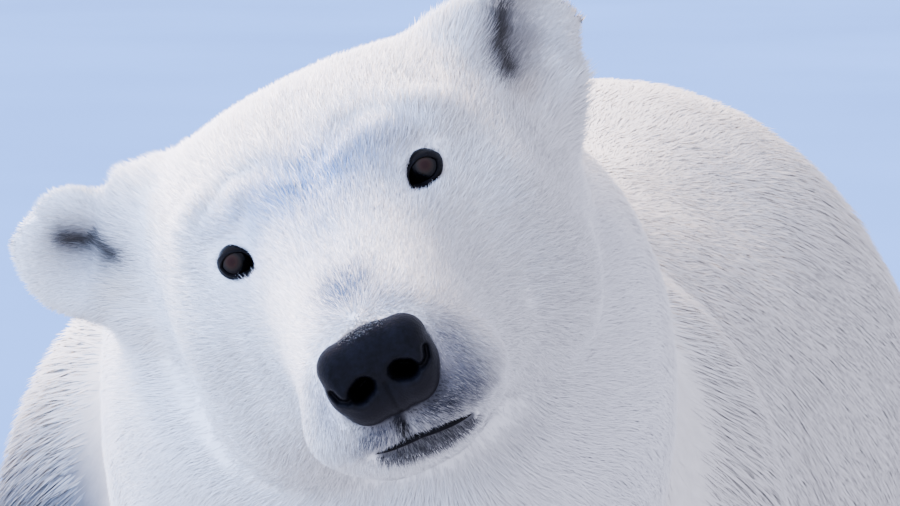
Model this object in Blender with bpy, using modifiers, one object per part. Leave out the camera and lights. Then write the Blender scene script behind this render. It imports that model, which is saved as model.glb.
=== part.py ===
"""Polar bear standing on four feet with its head cocked, life size, as closed solids.

Metres, +Z up. The bear faces -Y and its left side is +X. Every solid reaches out to the
tips of the coat. The flesh is made whole, as masses blended by a voxel remesh, and is
then parted where a person would name its parts. Eyes, nose and claws are let into it.
At the end everything is moved along the floor, so that the origin lies under the middle.
"""

import math

import bmesh
import bpy
import numpy as np
from mathutils import Matrix, Vector

OBJECT_NAME = "polar_bear"
LEFT, RIGHT = 1, -1
SIDES = {"left": LEFT, "right": RIGHT}

# How finely things are made
GAP = 0.0003  # between neighbouring pieces
VOXEL = 0.006
FLESH_TRIANGLES = 3750
FACE_KEEPS = 0.3  # how far the face resists the thinning of the mesh
PAWS_KEEP = 0.3  # the paws' share of that
RING_POINTS = 40
SOFTEN_STEPS = 60
FACE_SOFTEN = 0.22  # share of the softening that the face and the paws get

# The trunk, front to back: place along Y, top, bottom, half width
TRUNK = (
    (-0.26, 1.02, 0.70, 0.100),
    (-0.20, 1.10, 0.60, 0.170),
    (-0.10, 1.16, 0.52, 0.245),
    (0.05, 1.185, 0.465, 0.305),
    (0.30, 1.162, 0.43, 0.325),
    (0.60, 1.162, 0.42, 0.342),
    (0.88, 1.190, 0.45, 0.345),
    (1.08, 1.176, 0.51, 0.330),
    (1.24, 1.105, 0.56, 0.280),
    (1.34, 0.99, 0.60, 0.210),
    (1.40, 0.87, 0.68, 0.110),
)
TRUNK_SQUARE = 2.25
TRUNK_TOP_NARROWING = 0.10

# Muscle masses on both sides of the body: centre and radii
BODY_MASSES = (
    ((0.165, 0.03, 0.86), (0.160, 0.220, 0.250)),  # shoulder blade
    ((0.150, -0.08, 0.72), (0.120, 0.130, 0.180)),  # point of the shoulder
    ((0.175, 1.06, 0.78), (0.168, 0.260, 0.300)),  # haunch
    ((0.125, 1.20, 0.68), (0.125, 0.140, 0.250)),  # buttock
)

# The neck, body to head: centre, half width, half height, nod of the section in degrees
NECK = (
    ((0.000, 0.12, 0.86), 0.255, 0.290, 8),
    ((0.015, -0.06, 0.90), 0.228, 0.280, 16),
    ((0.045, -0.20, 0.95), 0.212, 0.262, 22),
    ((0.075, -0.33, 1.01), 0.208, 0.245, 26),
    ((0.096, -0.45, 1.07), 0.206, 0.222, 26),
    ((0.105, -0.55, 1.115), 0.186, 0.188, 22),
    ((0.110, -0.63, 1.145), 0.143, 0.145, 18),
)
NECK_SQUARE = 2.1

# The head is made level and straight, then turned to look at an onlooker
EYES_AT = Vector((0.12, -0.74, 1.215))  # midway between the eyes
LOOK_SIDE = math.radians(11)  # the onlooker stands this far round to the left
LOOK_UP = math.radians(6)
COCK = math.radians(26.6)
TURN = math.radians(5.0)
NOD = math.radians(9)

# The head in its own frame, nose to nape: place along Y, top, bottom, half width, height of
# the widest place, squareness
HEAD = (
    (-0.148, -0.064, -0.126, 0.034, -0.098, 2.4),
    (-0.136, -0.048, -0.140, 0.047, -0.103, 2.6),
    (-0.110, -0.032, -0.148, 0.053, -0.100, 2.8),
    (-0.070, -0.012, -0.151, 0.060, -0.095, 2.8),
    (-0.030, 0.014, -0.155, 0.070, -0.085, 2.6),
    (0.010, 0.043, -0.160, 0.097, -0.070, 2.5),
    (0.050, 0.064, -0.166, 0.127, -0.055, 2.6),
    (0.100, 0.077, -0.176, 0.143, -0.045, 2.7),
    (0.150, 0.073, -0.182, 0.147, -0.045, 2.5),
    (0.200, 0.060, -0.182, 0.138, -0.045, 2.3),
)

# Masses on both sides of the head: centre and radii
HEAD_MASSES = (
    ((0.066, 0.042, 0.014), (0.042, 0.036, 0.032)),  # brow
    ((0.085, 0.060, -0.050), (0.048, 0.062, 0.070)),  # cheekbone
    ((0.070, 0.085, -0.095), (0.070, 0.090, 0.080)),  # jaw muscle
    ((0.036, -0.085, -0.110), (0.034, 0.064, 0.034)),  # side of the lips
    ((0.020, -0.134, -0.108), (0.026, 0.020, 0.025)),  # front of the lips
    ((0.012, -0.114, -0.133), (0.034, 0.030, 0.021)),  # chin
    ((0.114, 0.125, 0.029), (0.052, 0.040, 0.046)),  # root of the ear
    ((0.140, 0.130, -0.012), (0.036, 0.036, 0.050)),  # below the ear
)

# Soft pushes on the blended head: centre, radii, shift. Both sides alike.
HEAD_PUSHES = (
    ((0.058, -0.006, 0.006), (0.018, 0.030, 0.016), (-0.004, 0.006, 0.000)),  # eye hollow
    ((0.066, 0.020, 0.032), (0.034, 0.030, 0.014), (0.000, -0.004, 0.003)),  # brow ridge
    ((0.000, 0.030, 0.050), (0.012, 0.050, 0.030), (0.000, 0.002, -0.004)),  # brow furrow
)

# Eyes
EYE_AT = (0.0665, 0.008, -0.0025)
EYE_RADIUS = 0.0115
EYE_OPENING = (0.0135, 0.020, 0.0085)
EYE_SLANT = math.radians(24)
EYE_OUT = math.radians(30)  # each eye looks this far out from straight ahead

# Ears: a disc with a hollow front
EAR_AT = {"left": (0.159, 0.1255, 0.021), "right": (0.175, 0.1255, 0.032)}
EAR_RADII = (0.053, 0.021, 0.053)
EAR_OPEN = math.radians(18)  # turned out from straight ahead
EAR_HOLLOW_AT = Vector((0.004, -0.022, 0.002))
EAR_HOLLOW_RADII = (0.030, 0.030, 0.032)
EAR_HOLLOW_DEPTH = 0.020
EAR_BASE = (0.130, 0.125, 0.066)  # a place on the cut at the ear's root
EAR_BASE_SLOPE = math.radians(35)
EAR_ROOM = (0.20, 0.07, 0.06, 0.14, 0.10)  # across, in front, behind, below and above

# The nose: balls that make the pad, and the nostrils
NOSE_BALLS = (
    ((0.000, -0.146, -0.068), (0.033, 0.020, 0.021)),
    ((0.021, -0.147, -0.080), (0.0155, 0.017, 0.020)),
    ((0.000, -0.146, -0.090), (0.019, 0.016, 0.017)),
)
NOSTRIL = ((0.0135, -0.166, -0.081), (0.0065, 0.013, 0.0060))
NOSE_VOXEL = 0.0022
NOSE_TRIANGLES = 300

# The mouth, as an outline in the head's YZ plane of what belongs to the lower jaw
JAW_OUTLINE = (
    (-0.25, -0.1275),
    (-0.15, -0.1270),
    (-0.10, -0.1255),
    (-0.045, -0.1205),
    (0.040, -0.212),
    (0.040, -0.30),
    (-0.25, -0.30),
)

# Legs: joints as (dx, dy, z, radius across, radius along) from the foot's place
FORE_FOOT = (0.185, -0.02)
HIND_FOOT = (0.195, 1.08)
FORE_STRIDE = 0.06
HIND_STRIDE = 0.08
STRIDE_FADES_AT = 0.75
FORE_LEG = (
    (0.010, 0.02, 0.86, 0.100, 0.160),
    (0.020, 0.04, 0.68, 0.118, 0.165),
    (0.015, 0.06, 0.50, 0.116, 0.150),
    (0.005, 0.045, 0.36, 0.106, 0.128),
    (0.000, 0.02, 0.22, 0.096, 0.108),
    (0.000, 0.00, 0.12, 0.096, 0.102),
    (0.000, -0.02, 0.03, 0.088, 0.092),
)
HIND_LEG = (
    (0.005, 0.02, 0.84, 0.120, 0.220),
    (0.015, 0.01, 0.66, 0.138, 0.235),
    (0.015, -0.01, 0.49, 0.130, 0.205),
    (0.005, 0.03, 0.34, 0.108, 0.155),
    (0.000, 0.08, 0.21, 0.092, 0.115),
    (0.000, 0.09, 0.11, 0.088, 0.098),
    (0.000, 0.08, 0.03, 0.080, 0.088),
)

# Paws: the middle and radii of the foot, and how far its toes reach; then the toes
PAW_TURN_IN = math.radians(7)
FORE_PAW = ((0.0, -0.035, 0.042), (0.120, 0.122, 0.088), 0.112)
HIND_PAW = ((0.0, 0.000, 0.038), (0.106, 0.158, 0.076), 0.134)
TOES = 5
TOE_RADII = (0.030, 0.050, 0.040)
TOE_SPREAD = math.radians(17)
TOE_ARC_CENTRE = 0.01
CLAW_RADIUS = 0.0082
CLAW_LENGTH = 0.052
CLAW_CURVE = math.radians(60)
CLAW_STARTS = (0, -0.030, 0.002)
CLAW_POINTS = 6
CLAW_STEPS = 3

# Tail: centre and radius
TAIL = (
    ((0, 1.33, 0.98), 0.055),
    ((0, 1.405, 0.93), 0.058),
    ((0, 1.450, 0.86), 0.050),
    ((0, 1.470, 0.79), 0.026),
)
TAIL_FLATNESS = 0.8
TAIL_SLOPE = math.radians(35)

# Where the flesh is parted
HEAD_CUT = ((0, 0.172, -0.02), math.radians(-14))
NECK_CUT = ((0.04, -0.21, 0.95), math.radians(36))
TAIL_CUT = ((0, 1.412, 0.87), math.radians(24))
TAIL_ROOM = (0.2, 0.3, 0.3)
LEG_CUT_LOW = (0.012, 0.40)  # x and z where the cut leaves between the legs
LEG_CUT_HIGH = (0.450, 0.75)
FORE_CUT_BACK = 0.235
HIND_CUT_FRONT = 0.80
ELBOW = 0.40
WRIST = 0.135
KNEE = 0.42
ANKLE = 0.130
FAR = 1.2  # larger than any piece that is cut

COLOURS = {
    "coat": ((0.86, 0.85, 0.82, 1), 0.8),
    "eye": ((0.06, 0.03, 0.02, 1), 0.15),
    "nose": ((0.012, 0.013, 0.018, 1), 0.4),
    "claw": ((0.03, 0.028, 0.026, 1), 0.35),
}


def clear_scene():
    for obj in list(bpy.data.objects):
        bpy.data.objects.remove(obj, do_unlink=True)


def new_object(name, bm):
    bmesh.ops.recalc_face_normals(bm, faces=bm.faces[:])
    mesh = bpy.data.meshes.new(name)
    bm.to_mesh(mesh)
    bm.free()
    obj = bpy.data.objects.new(name, mesh)
    bpy.context.scene.collection.objects.link(obj)
    return obj


def remove(*objects):
    for obj in objects:
        bpy.data.objects.remove(obj, do_unlink=True)


def bake(obj):
    """Applies the object's modifiers."""
    graph = bpy.context.evaluated_depsgraph_get()
    graph.update()
    made = bpy.data.meshes.new_from_object(obj.evaluated_get(graph))
    obj.modifiers.clear()
    old = obj.data
    obj.data = made
    bpy.data.meshes.remove(old)


def remesh(obj, voxel):
    modifier = obj.modifiers.new("whole", "REMESH")
    modifier.mode = "VOXEL"
    modifier.voxel_size = voxel
    bake(obj)


def thin_out(obj, triangles, weights=None):
    """Cuts the mesh down to about so many triangles, least where weights are high."""
    modifier = obj.modifiers.new("thin", "DECIMATE")
    modifier.use_collapse_triangulate = True
    obj.data.calc_loop_triangles()
    modifier.ratio = triangles / len(obj.data.loop_triangles)
    if weights is not None:
        group = obj.vertex_groups.new(name="detail")
        for level in range(1, 11):
            chosen = np.flatnonzero(np.round(weights * 10) == level)
            group.add(chosen.tolist(), 0.09 * level, "REPLACE")
        modifier.vertex_group = "detail"
        modifier.invert_vertex_group = True
        modifier.vertex_group_factor = FACE_KEEPS
    bake(obj)
    obj.vertex_groups.clear()


def boolean(obj, operation, cutter):
    modifier = obj.modifiers.new("cut", "BOOLEAN")
    modifier.operation = operation
    modifier.solver = "EXACT"
    modifier.object = cutter
    bake(obj)


def coordinates(obj):
    flat = np.empty(len(obj.data.vertices) * 3)
    obj.data.vertices.foreach_get("co", flat)
    return flat.reshape(-1, 3)


def set_coordinates(obj, points):
    obj.data.vertices.foreach_set("co", points.ravel())
    obj.data.update()


def soften(obj, steps, weights):
    """Moves each vertex towards the mean of its neighbours, as far as its weight says."""
    ends = np.empty(len(obj.data.edges) * 2, dtype=np.int64)
    obj.data.edges.foreach_get("vertices", ends)
    first, second = ends[0::2], ends[1::2]
    points = coordinates(obj)
    count = len(points)
    neighbours = np.bincount(ends, minlength=count)
    for _ in range(steps):
        total = np.stack(
            [
                np.bincount(first, points[second, k], count)
                + np.bincount(second, points[first, k], count)
                for k in range(3)
            ],
            axis=1,
        )
        mean = total / neighbours[:, None]
        points += (mean - points) * (0.5 * weights)[:, None]
    set_coordinates(obj, points)


def head_frame():
    """From the head's own frame to the world."""
    side = Vector((math.cos(LOOK_SIDE), math.sin(LOOK_SIDE), 0))
    level = Vector((-math.sin(LOOK_SIDE), math.cos(LOOK_SIDE), 0))
    away = level * math.cos(LOOK_UP) - Vector((0, 0, math.sin(LOOK_UP)))
    look = Matrix((side, away, side.cross(away))).transposed().to_4x4()
    cock = Matrix.Rotation(-COCK, 4, "Y")
    turn = Matrix.Rotation(-TURN, 4, "Z")
    nod = Matrix.Rotation(NOD, 4, "X")
    return Matrix.Translation(EYES_AT) @ look @ cock @ turn @ nod


def join(bm, own):
    """Adds one small mesh to a larger one, and frees the small one."""
    mesh = bpy.data.meshes.new("joined")
    own.to_mesh(mesh)
    own.free()
    bm.from_mesh(mesh)
    bpy.data.meshes.remove(mesh)


def ball(bm, centre, radii, place=None, spin=None, segments=32):
    shape = Matrix.Translation(centre)
    if place:
        shape = place @ shape
    if spin:
        shape = shape @ spin
    shape = shape @ Matrix.Diagonal((*radii, 1))
    own = bmesh.new()
    bmesh.ops.create_uvsphere(
        own, u_segments=segments, v_segments=segments // 2, radius=1, matrix=shape
    )
    join(bm, own)


def smooth_stations(stations, steps):
    """Rows of numbers, with rows put between by a Catmull-Rom curve."""
    rows = np.array(stations, dtype=float)
    ends = np.vstack([2 * rows[0] - rows[1], rows, 2 * rows[-1] - rows[-2]])
    out = []
    for a, b, c, d in zip(ends, ends[1:], ends[2:], ends[3:]):
        for t in np.arange(steps) / steps:
            slope = 0.5 * t * (c - a)
            bend = t * t * (a - 2.5 * b + 2 * c - 0.5 * d)
            twist = t**3 * (1.5 * b - 1.5 * c + 0.5 * (d - a))
            out.append(b + slope + bend + twist)
    out.append(rows[-1])
    return out


def round_ring(power=2.0, points=RING_POINTS):
    """Points round a superellipse of half width and half height 1."""
    ring = []
    for k in range(points):
        c, s = math.cos(math.tau * k / points), math.sin(math.tau * k / points)
        u = math.copysign(abs(c) ** (2 / power), c)
        v = math.copysign(abs(s) ** (2 / power), s)
        ring.append((u, v))
    return ring


def loft(bm, rings):
    """Joins rings of points into one closed skin."""
    own = bmesh.new()
    loops = []
    for points in rings:
        made = bmesh.ops.create_circle(own, segments=len(points), radius=1)["verts"]
        for vert, point in zip(made, points):
            vert.co = point
        loops.append(list({e for v in made for e in v.link_edges}))
    for first, second in zip(loops, loops[1:]):
        bmesh.ops.bridge_loops(own, edges=first + second)
    for end in (loops[0], loops[-1]):
        bmesh.ops.contextual_create(own, geom=end)
    join(bm, own)


def trunk_rings():
    rings = []
    for y, top, bottom, half in smooth_stations(TRUNK, 3):
        middle, tall = (top + bottom) / 2, (top - bottom) / 2
        rings.append(
            [
                Vector((half * u * (1 - TRUNK_TOP_NARROWING * v), y, middle + tall * v))
                for u, v in round_ring(TRUNK_SQUARE)
            ]
        )
    return rings


def neck_rings():
    rings = []
    rows = [(*centre, half, tall, nod) for centre, half, tall, nod in NECK]
    for x, y, z, half, tall, nod in smooth_stations(rows, 3):
        lean = Matrix.Rotation(-math.radians(nod), 4, "X")
        rings.append(
            [
                Vector((x, y, z)) + lean @ Vector((half * u, 0, tall * v))
                for u, v in round_ring(NECK_SQUARE)
            ]
        )
    return rings


def head_rings(place):
    rings = []
    for y, top, bottom, half, widest, square in smooth_stations(HEAD, 3):
        points = []
        for u, v in round_ring(square):
            tall = top - widest if v > 0 else widest - bottom
            points.append(place @ Vector((half * u, y, widest + tall * v)))
        rings.append(points)
    return rings


def limb_rings(joints, side, foot, stride):
    rings = []
    for dx, dy, z, across, along in smooth_stations(joints, 3):
        x = side * (foot[0] + dx)
        y = foot[1] + dy + stride * max(0.0, 1 - z / STRIDE_FADES_AT)
        rings.append([Vector((x + across * u, y + along * v, z)) for u, v in round_ring()])
    return rings


def tail_rings():
    rings = []
    slope = Matrix.Rotation(TAIL_SLOPE, 4, "X")
    for x, y, z, r in smooth_stations([(*centre, r) for centre, r in TAIL], 3):
        rings.append(
            [
                Vector((x, y, z)) + slope @ Vector((r * u, TAIL_FLATNESS * r * v, 0))
                for u, v in round_ring()
            ]
        )
    return rings


def feet():
    """Each foot's name, side, paw, leg, place and stride."""
    for name, side in SIDES.items():
        yield f"{name}_fore", side, FORE_PAW, FORE_LEG, FORE_FOOT, -side * FORE_STRIDE
        yield f"{name}_hind", side, HIND_PAW, HIND_LEG, HIND_FOOT, side * HIND_STRIDE


def paw_frame(side, foot, stride):
    turn = Matrix.Rotation(-side * PAW_TURN_IN, 4, "Z")
    return Matrix.Translation((side * foot[0], foot[1] + stride, 0)) @ turn


def toe_frames(paw, frame):
    """One frame for each toe, at its middle, with -Y out along the toe."""
    centre, _, reach = paw
    hub = Matrix.Translation((0, centre[1] + TOE_ARC_CENTRE, TOE_RADII[2] * 0.9))
    out = Matrix.Translation((0, -reach, 0))
    for k in range(TOES):
        fan = Matrix.Rotation(TOE_SPREAD * (k - (TOES - 1) / 2), 4, "Z")
        yield frame @ hub @ fan @ out


def ear_frame(name, side, place):
    x, y, z = EAR_AT[name]
    open_out = Matrix.Rotation(side * EAR_OPEN, 4, "Z")
    return place @ Matrix.Translation((side * x, y, z)) @ open_out


def flesh(place):
    """All the masses of flesh in one mesh, still overlapping."""
    bm = bmesh.new()
    for rings in (trunk_rings(), neck_rings(), head_rings(place), tail_rings()):
        loft(bm, rings)
    for _, side, paw, leg, foot, stride in feet():
        loft(bm, limb_rings(leg, side, foot, stride))
        frame = paw_frame(side, foot, stride)
        ball(bm, paw[0], paw[1], frame)
        for toe in toe_frames(paw, frame):
            ball(bm, (0, 0, 0), TOE_RADII, toe)
    for name, side in SIDES.items():
        for (x, y, z), radii in BODY_MASSES:
            ball(bm, (side * x, y, z), radii)
        for (x, y, z), radii in HEAD_MASSES:
            ball(bm, (side * x, y, z), radii, place)
        ball(bm, (0, 0, 0), EAR_RADII, ear_frame(name, side, place))
    return new_object("bear", bm)


def own_points(points, place):
    """World points in the frame that place stands for."""
    inverse = np.array(place.inverted())
    return points @ inverse[:3, :3].T + inverse[:3, 3]


def world_shift(shift, place):
    return np.array(place.to_3x3() @ Vector(shift))


def nearness(points, centre, radii):
    """1 at the centre, fading smoothly to nothing at about twice the radii."""
    return np.exp(-(((points - np.array(centre)) / np.array(radii)) ** 2).sum(axis=1))


def shape_head(bear, place):
    """Pushes the blended mesh softly in and out on the face, and hollows the ears."""
    points = coordinates(bear)
    own = own_points(points, place)
    moved = np.zeros_like(points)
    for (x, y, z), radii, (dx, dy, dz) in HEAD_PUSHES:
        for side in (LEFT, RIGHT):
            shift = world_shift((side * dx, dy, dz), place)
            weight = nearness(own, (side * x, y, z), radii)
            moved += weight[:, None] * shift * (0.5 if x == 0 else 1)
    for name, side in SIDES.items():
        frame = ear_frame(name, side, place)
        in_ear = own_points(points, frame)
        at = (side * EAR_HOLLOW_AT.x, EAR_HOLLOW_AT.y, EAR_HOLLOW_AT.z)
        weight = nearness(in_ear, at, EAR_HOLLOW_RADII) * (in_ear[:, 1] < 0)
        moved += weight[:, None] * world_shift((0, EAR_HOLLOW_DEPTH, 0), frame)
    set_coordinates(bear, points + moved)


def detail_weights(points, place, paws=1.0):
    """1 on the face, as told on the paws, and 0 on the body and the legs."""
    own = own_points(points, place)
    in_front = np.clip((0.17 - own[:, 1]) / 0.06, 0, 1)
    around = np.clip((0.30 - np.linalg.norm(own, axis=1)) / 0.06, 0, 1)
    low = paws * np.clip((0.15 - points[:, 2]) / 0.08, 0, 1)
    return np.maximum(in_front * around, low)


def whole_bear(place):
    bear = flesh(place)
    remesh(bear, VOXEL)
    detail = detail_weights(coordinates(bear), place)
    soften(bear, SOFTEN_STEPS, 1 - (1 - FACE_SOFTEN) * detail)
    shape_head(bear, place)
    soften(bear, 4, np.ones(len(detail)))
    detail = detail_weights(coordinates(bear), place, PAWS_KEEP)
    thin_out(bear, FLESH_TRIANGLES, detail)
    return bear


def block(name, low, high, place=None):
    """A box from one corner to the other, placed."""
    low, high = Vector(low), Vector(high)
    shape = Matrix.Translation((low + high) / 2) @ Matrix.Diagonal((*(high - low), 1))
    bm = bmesh.new()
    bmesh.ops.create_cube(bm, size=1, matrix=(place @ shape) if place else shape)
    return new_object(name, bm)


def prism(name, outline, axis_low, axis_high, to_world):
    """An outline pushed along an axis; to_world turns (u, along, v) into a place."""
    bm = bmesh.new()
    loft(bm, [[to_world(u, t, v) for u, v in outline] for t in (axis_low, axis_high)])
    return new_object(name, bm)


def part_off(bear, name, make_cutter):
    """Takes what lies in the cutter off the bear as a piece, with a thin gap."""
    piece = bear.copy()
    piece.data = bear.data.copy()
    piece.name = name
    bpy.context.scene.collection.objects.link(piece)
    inner, outer = make_cutter(0), make_cutter(GAP)
    boolean(piece, "INTERSECT", inner)
    boolean(bear, "DIFFERENCE", outer)
    remove(inner, outer)
    return piece


def behind(point, lean, place=None):
    """A frame at the point whose -Y side is cut away, leaning about X."""
    frame = Matrix.Translation(point) @ Matrix.Rotation(lean, 4, "X")
    return place @ frame if place else frame


def front_block(frame):
    return lambda grow: block("cutter", (-FAR, -FAR, -FAR), (FAR, grow, FAR), frame)


def tail_block():
    frame = Matrix.Translation(TAIL_CUT[0]) @ Matrix.Rotation(TAIL_CUT[1], 4, "X")
    x, y, z = TAIL_ROOM
    return lambda grow: block("cutter", (-x, -grow, -z), (x, y, z), frame)


def low_block(height):
    return lambda grow: block("cutter", (-FAR, -FAR, -FAR), (FAR, 2 * FAR, height + grow))


def leg_prism(side, low_y, high_y):
    def make(grow):
        outline = (
            (LEG_CUT_LOW[0] - grow, -FAR),
            (LEG_CUT_LOW[0] - grow, LEG_CUT_LOW[1] + grow),
            (LEG_CUT_HIGH[0], LEG_CUT_HIGH[1] + grow),
            (FAR, LEG_CUT_HIGH[1] + grow),
            (FAR, -FAR),
        )
        return prism(
            "cutter",
            outline,
            low_y - grow,
            high_y + grow,
            lambda u, t, v: Vector((side * u, t, v)),
        )

    return make


def jaw_prism(place):
    def make(grow):
        outline = [(y + (grow if y > 0 else 0), z + grow) for y, z in JAW_OUTLINE]
        return prism(
            "cutter", outline, -0.3, 0.3, lambda u, t, v: place @ Vector((t, u, v))
        )

    return make


def ear_block(side, place):
    lean = Matrix.Rotation(-side * EAR_BASE_SLOPE, 4, "Y")
    at = Matrix.Translation((side * EAR_BASE[0], EAR_BASE[1], EAR_BASE[2]))
    frame = place @ at @ lean

    across, front, back, below, above = EAR_ROOM

    def make(grow):
        near, far = sorted((-side * grow, side * across))
        low = (near, -front - grow, -below - grow)
        return block("cutter", low, (far, back + grow, above + grow), frame)

    return make


def eye_frame(side, place):
    x, y, z = EYE_AT
    out = Matrix.Rotation(side * EYE_OUT, 4, "Z")
    slant = Matrix.Rotation(-side * EYE_SLANT, 4, "Y")
    return place @ Matrix.Translation((side * x, y, z)) @ out @ slant


def make_eyes(place):
    """The eyeballs, and the cutter for their sockets."""
    sockets = bmesh.new()
    for name, side in SIDES.items():
        bm = bmesh.new()
        frame = eye_frame(side, place)
        ball(bm, (0, 0, 0), (EYE_RADIUS,) * 3, frame, segments=14)
        new_object(f"{name}_eye", bm)
        ball(sockets, (0, 0, 0), (EYE_RADIUS + GAP,) * 3, frame, segments=14)
    return new_object("sockets", sockets)


def eye_openings(place):
    bm = bmesh.new()
    for side in (LEFT, RIGHT):
        frame = eye_frame(side, place) @ Matrix.Translation((0, -0.018, 0))
        ball(bm, (0, 0, 0), EYE_OPENING, frame, segments=12)
    return new_object("openings", bm)


def grown(obj, amount):
    """A copy of a closed piece, pushed out along its normals."""
    copy = obj.copy()
    copy.data = obj.data.copy()
    bpy.context.scene.collection.objects.link(copy)
    bm = bmesh.new()
    bm.from_mesh(copy.data)
    bm.normal_update()
    normals = [v.normal.copy() for v in bm.verts]
    for vert, normal in zip(bm.verts, normals):
        vert.co += normal * amount
    bm.to_mesh(copy.data)
    bm.free()
    return copy


def make_nose(place):
    bm = bmesh.new()
    for (x, y, z), radii in NOSE_BALLS:
        for side in (LEFT, RIGHT) if x else (LEFT,):
            ball(bm, (side * x, y, z), radii, place)
    nose = new_object("nose", bm)
    remesh(nose, NOSE_VOXEL)
    soften(nose, 6, np.ones(len(nose.data.vertices)))
    bm = bmesh.new()
    (x, y, z), radii = NOSTRIL
    for side in (LEFT, RIGHT):
        ball(bm, (side * x, y, z), radii, place, segments=12)
    nostrils = new_object("nostrils", bm)
    thin_out(nose, NOSE_TRIANGLES)
    boolean(nose, "DIFFERENCE", nostrils)
    remove(nostrils)
    return nose


def claw_rings(frame):
    """Rings along an arc that leaves the toe forwards and curves down."""
    rings = []
    bend_radius = CLAW_LENGTH / CLAW_CURVE
    for k in range(CLAW_STEPS + 1):
        angle = CLAW_CURVE * k / CLAW_STEPS
        y = -bend_radius * math.sin(angle)
        z = bend_radius * (math.cos(angle) - 1)
        radius = CLAW_RADIUS * (1 - 0.85 * k / CLAW_STEPS)
        lean = Matrix.Rotation(angle, 4, "X")
        at = frame @ Matrix.Translation(CLAW_STARTS)
        rings.append(
            [
                at @ (Vector((0, y, z)) + lean @ Vector((radius * u, 0, 1.25 * radius * v)))
                for u, v in round_ring(2.0, CLAW_POINTS)
            ]
        )
    return rings


def make_claws():
    claws = []
    for name, side, paw, _, foot, stride in feet():
        for k, toe in enumerate(toe_frames(paw, paw_frame(side, foot, stride)), 1):
            bm = bmesh.new()
            loft(bm, claw_rings(toe))
            claws.append(new_object(f"{name}_claw_{k}", bm))
    return claws


def let_in(bear, pieces):
    """Cuts room in the bear for each piece, a thin gap larger than the piece."""
    for piece in pieces:
        room = grown(piece, GAP)
        boolean(bear, "DIFFERENCE", room)
        remove(room)


def part_flesh(bear, place):
    """Cuts the flesh into its named nodes; what is left is the trunk."""
    part_off(bear, "tail", tail_block())
    for name, side, _, _, _, stride in feet():
        fore = name.endswith("fore")
        low_y = -0.6 if fore else HIND_CUT_FRONT + min(0, stride)
        high_y = FORE_CUT_BACK + max(0, stride) if fore else 1.8
        leg = part_off(bear, f"{name}_upper_leg", leg_prism(side, low_y, high_y))
        lower = part_off(leg, f"{name}_lower_leg", low_block(ELBOW if fore else KNEE))
        part_off(lower, f"{name}_paw", low_block(WRIST if fore else ANKLE))
    head = part_off(bear, "head", front_block(behind(*HEAD_CUT, place)))
    part_off(bear, "neck", front_block(behind(*NECK_CUT)))
    bear.name = "trunk"
    part_off(head, "lower_jaw", jaw_prism(place))
    for name, side in SIDES.items():
        part_off(head, f"{name}_ear", ear_block(side, place))
    return head


def flatten_soles(bear):
    floor = block("floor", (-FAR, -FAR, -FAR), (FAR, 2 * FAR, 0))
    boolean(bear, "DIFFERENCE", floor)
    remove(floor)


def material(name):
    colour, roughness = COLOURS[name]
    made = bpy.data.materials.new(name)
    made.use_nodes = True
    shader = made.node_tree.nodes["Principled BSDF"]
    shader.inputs["Base Color"].default_value = colour
    shader.inputs["Roughness"].default_value = roughness
    return made


def centre_on_floor():
    """Moves every piece so that the origin lies on the floor, under the middle of the box."""
    pieces = list(bpy.context.scene.collection.objects)
    points = np.vstack([coordinates(piece) for piece in pieces])
    middle = (points.min(axis=0) + points.max(axis=0)) / 2
    middle[2] = 0
    for piece in pieces:
        set_coordinates(piece, coordinates(piece) - middle)


def finish_pieces():
    collection = bpy.data.collections.new(OBJECT_NAME)
    bpy.context.scene.collection.children.link(collection)
    for obj in list(bpy.context.scene.collection.objects):
        kind = next((k for k in ("eye", "nose", "claw") if k in obj.name), "coat")
        obj.data.materials.clear()
        obj.data.materials.append(material(kind))
        collection.objects.link(obj)
        bpy.context.scene.collection.objects.unlink(obj)


def main():
    clear_scene()
    place = head_frame()
    bear = whole_bear(place)
    flatten_soles(bear)
    openings, sockets = eye_openings(place), make_eyes(place)
    boolean(bear, "DIFFERENCE", openings)
    boolean(bear, "DIFFERENCE", sockets)
    remove(openings, sockets)
    let_in(bear, [make_nose(place), *make_claws()])
    part_flesh(bear, place)
    centre_on_floor()
    finish_pieces()


if __name__ == "__main__":
    main()
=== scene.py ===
"""Polar bear, life size, standing on four feet with its head cocked: the looks.

One smooth skin lies inside the solids by the depth of the coat. The coat stands on it as
joined tufts that follow the lie of the hair. Eyes, eyelids, nose, lips and claws are
pieces of their own. Metres, +Z up, the bear faces -Y and its left side is +X.
"""

import math

import bmesh
import bpy
import numpy as np
from mathutils import Matrix, Vector
from mathutils.bvhtree import BVHTree


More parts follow.
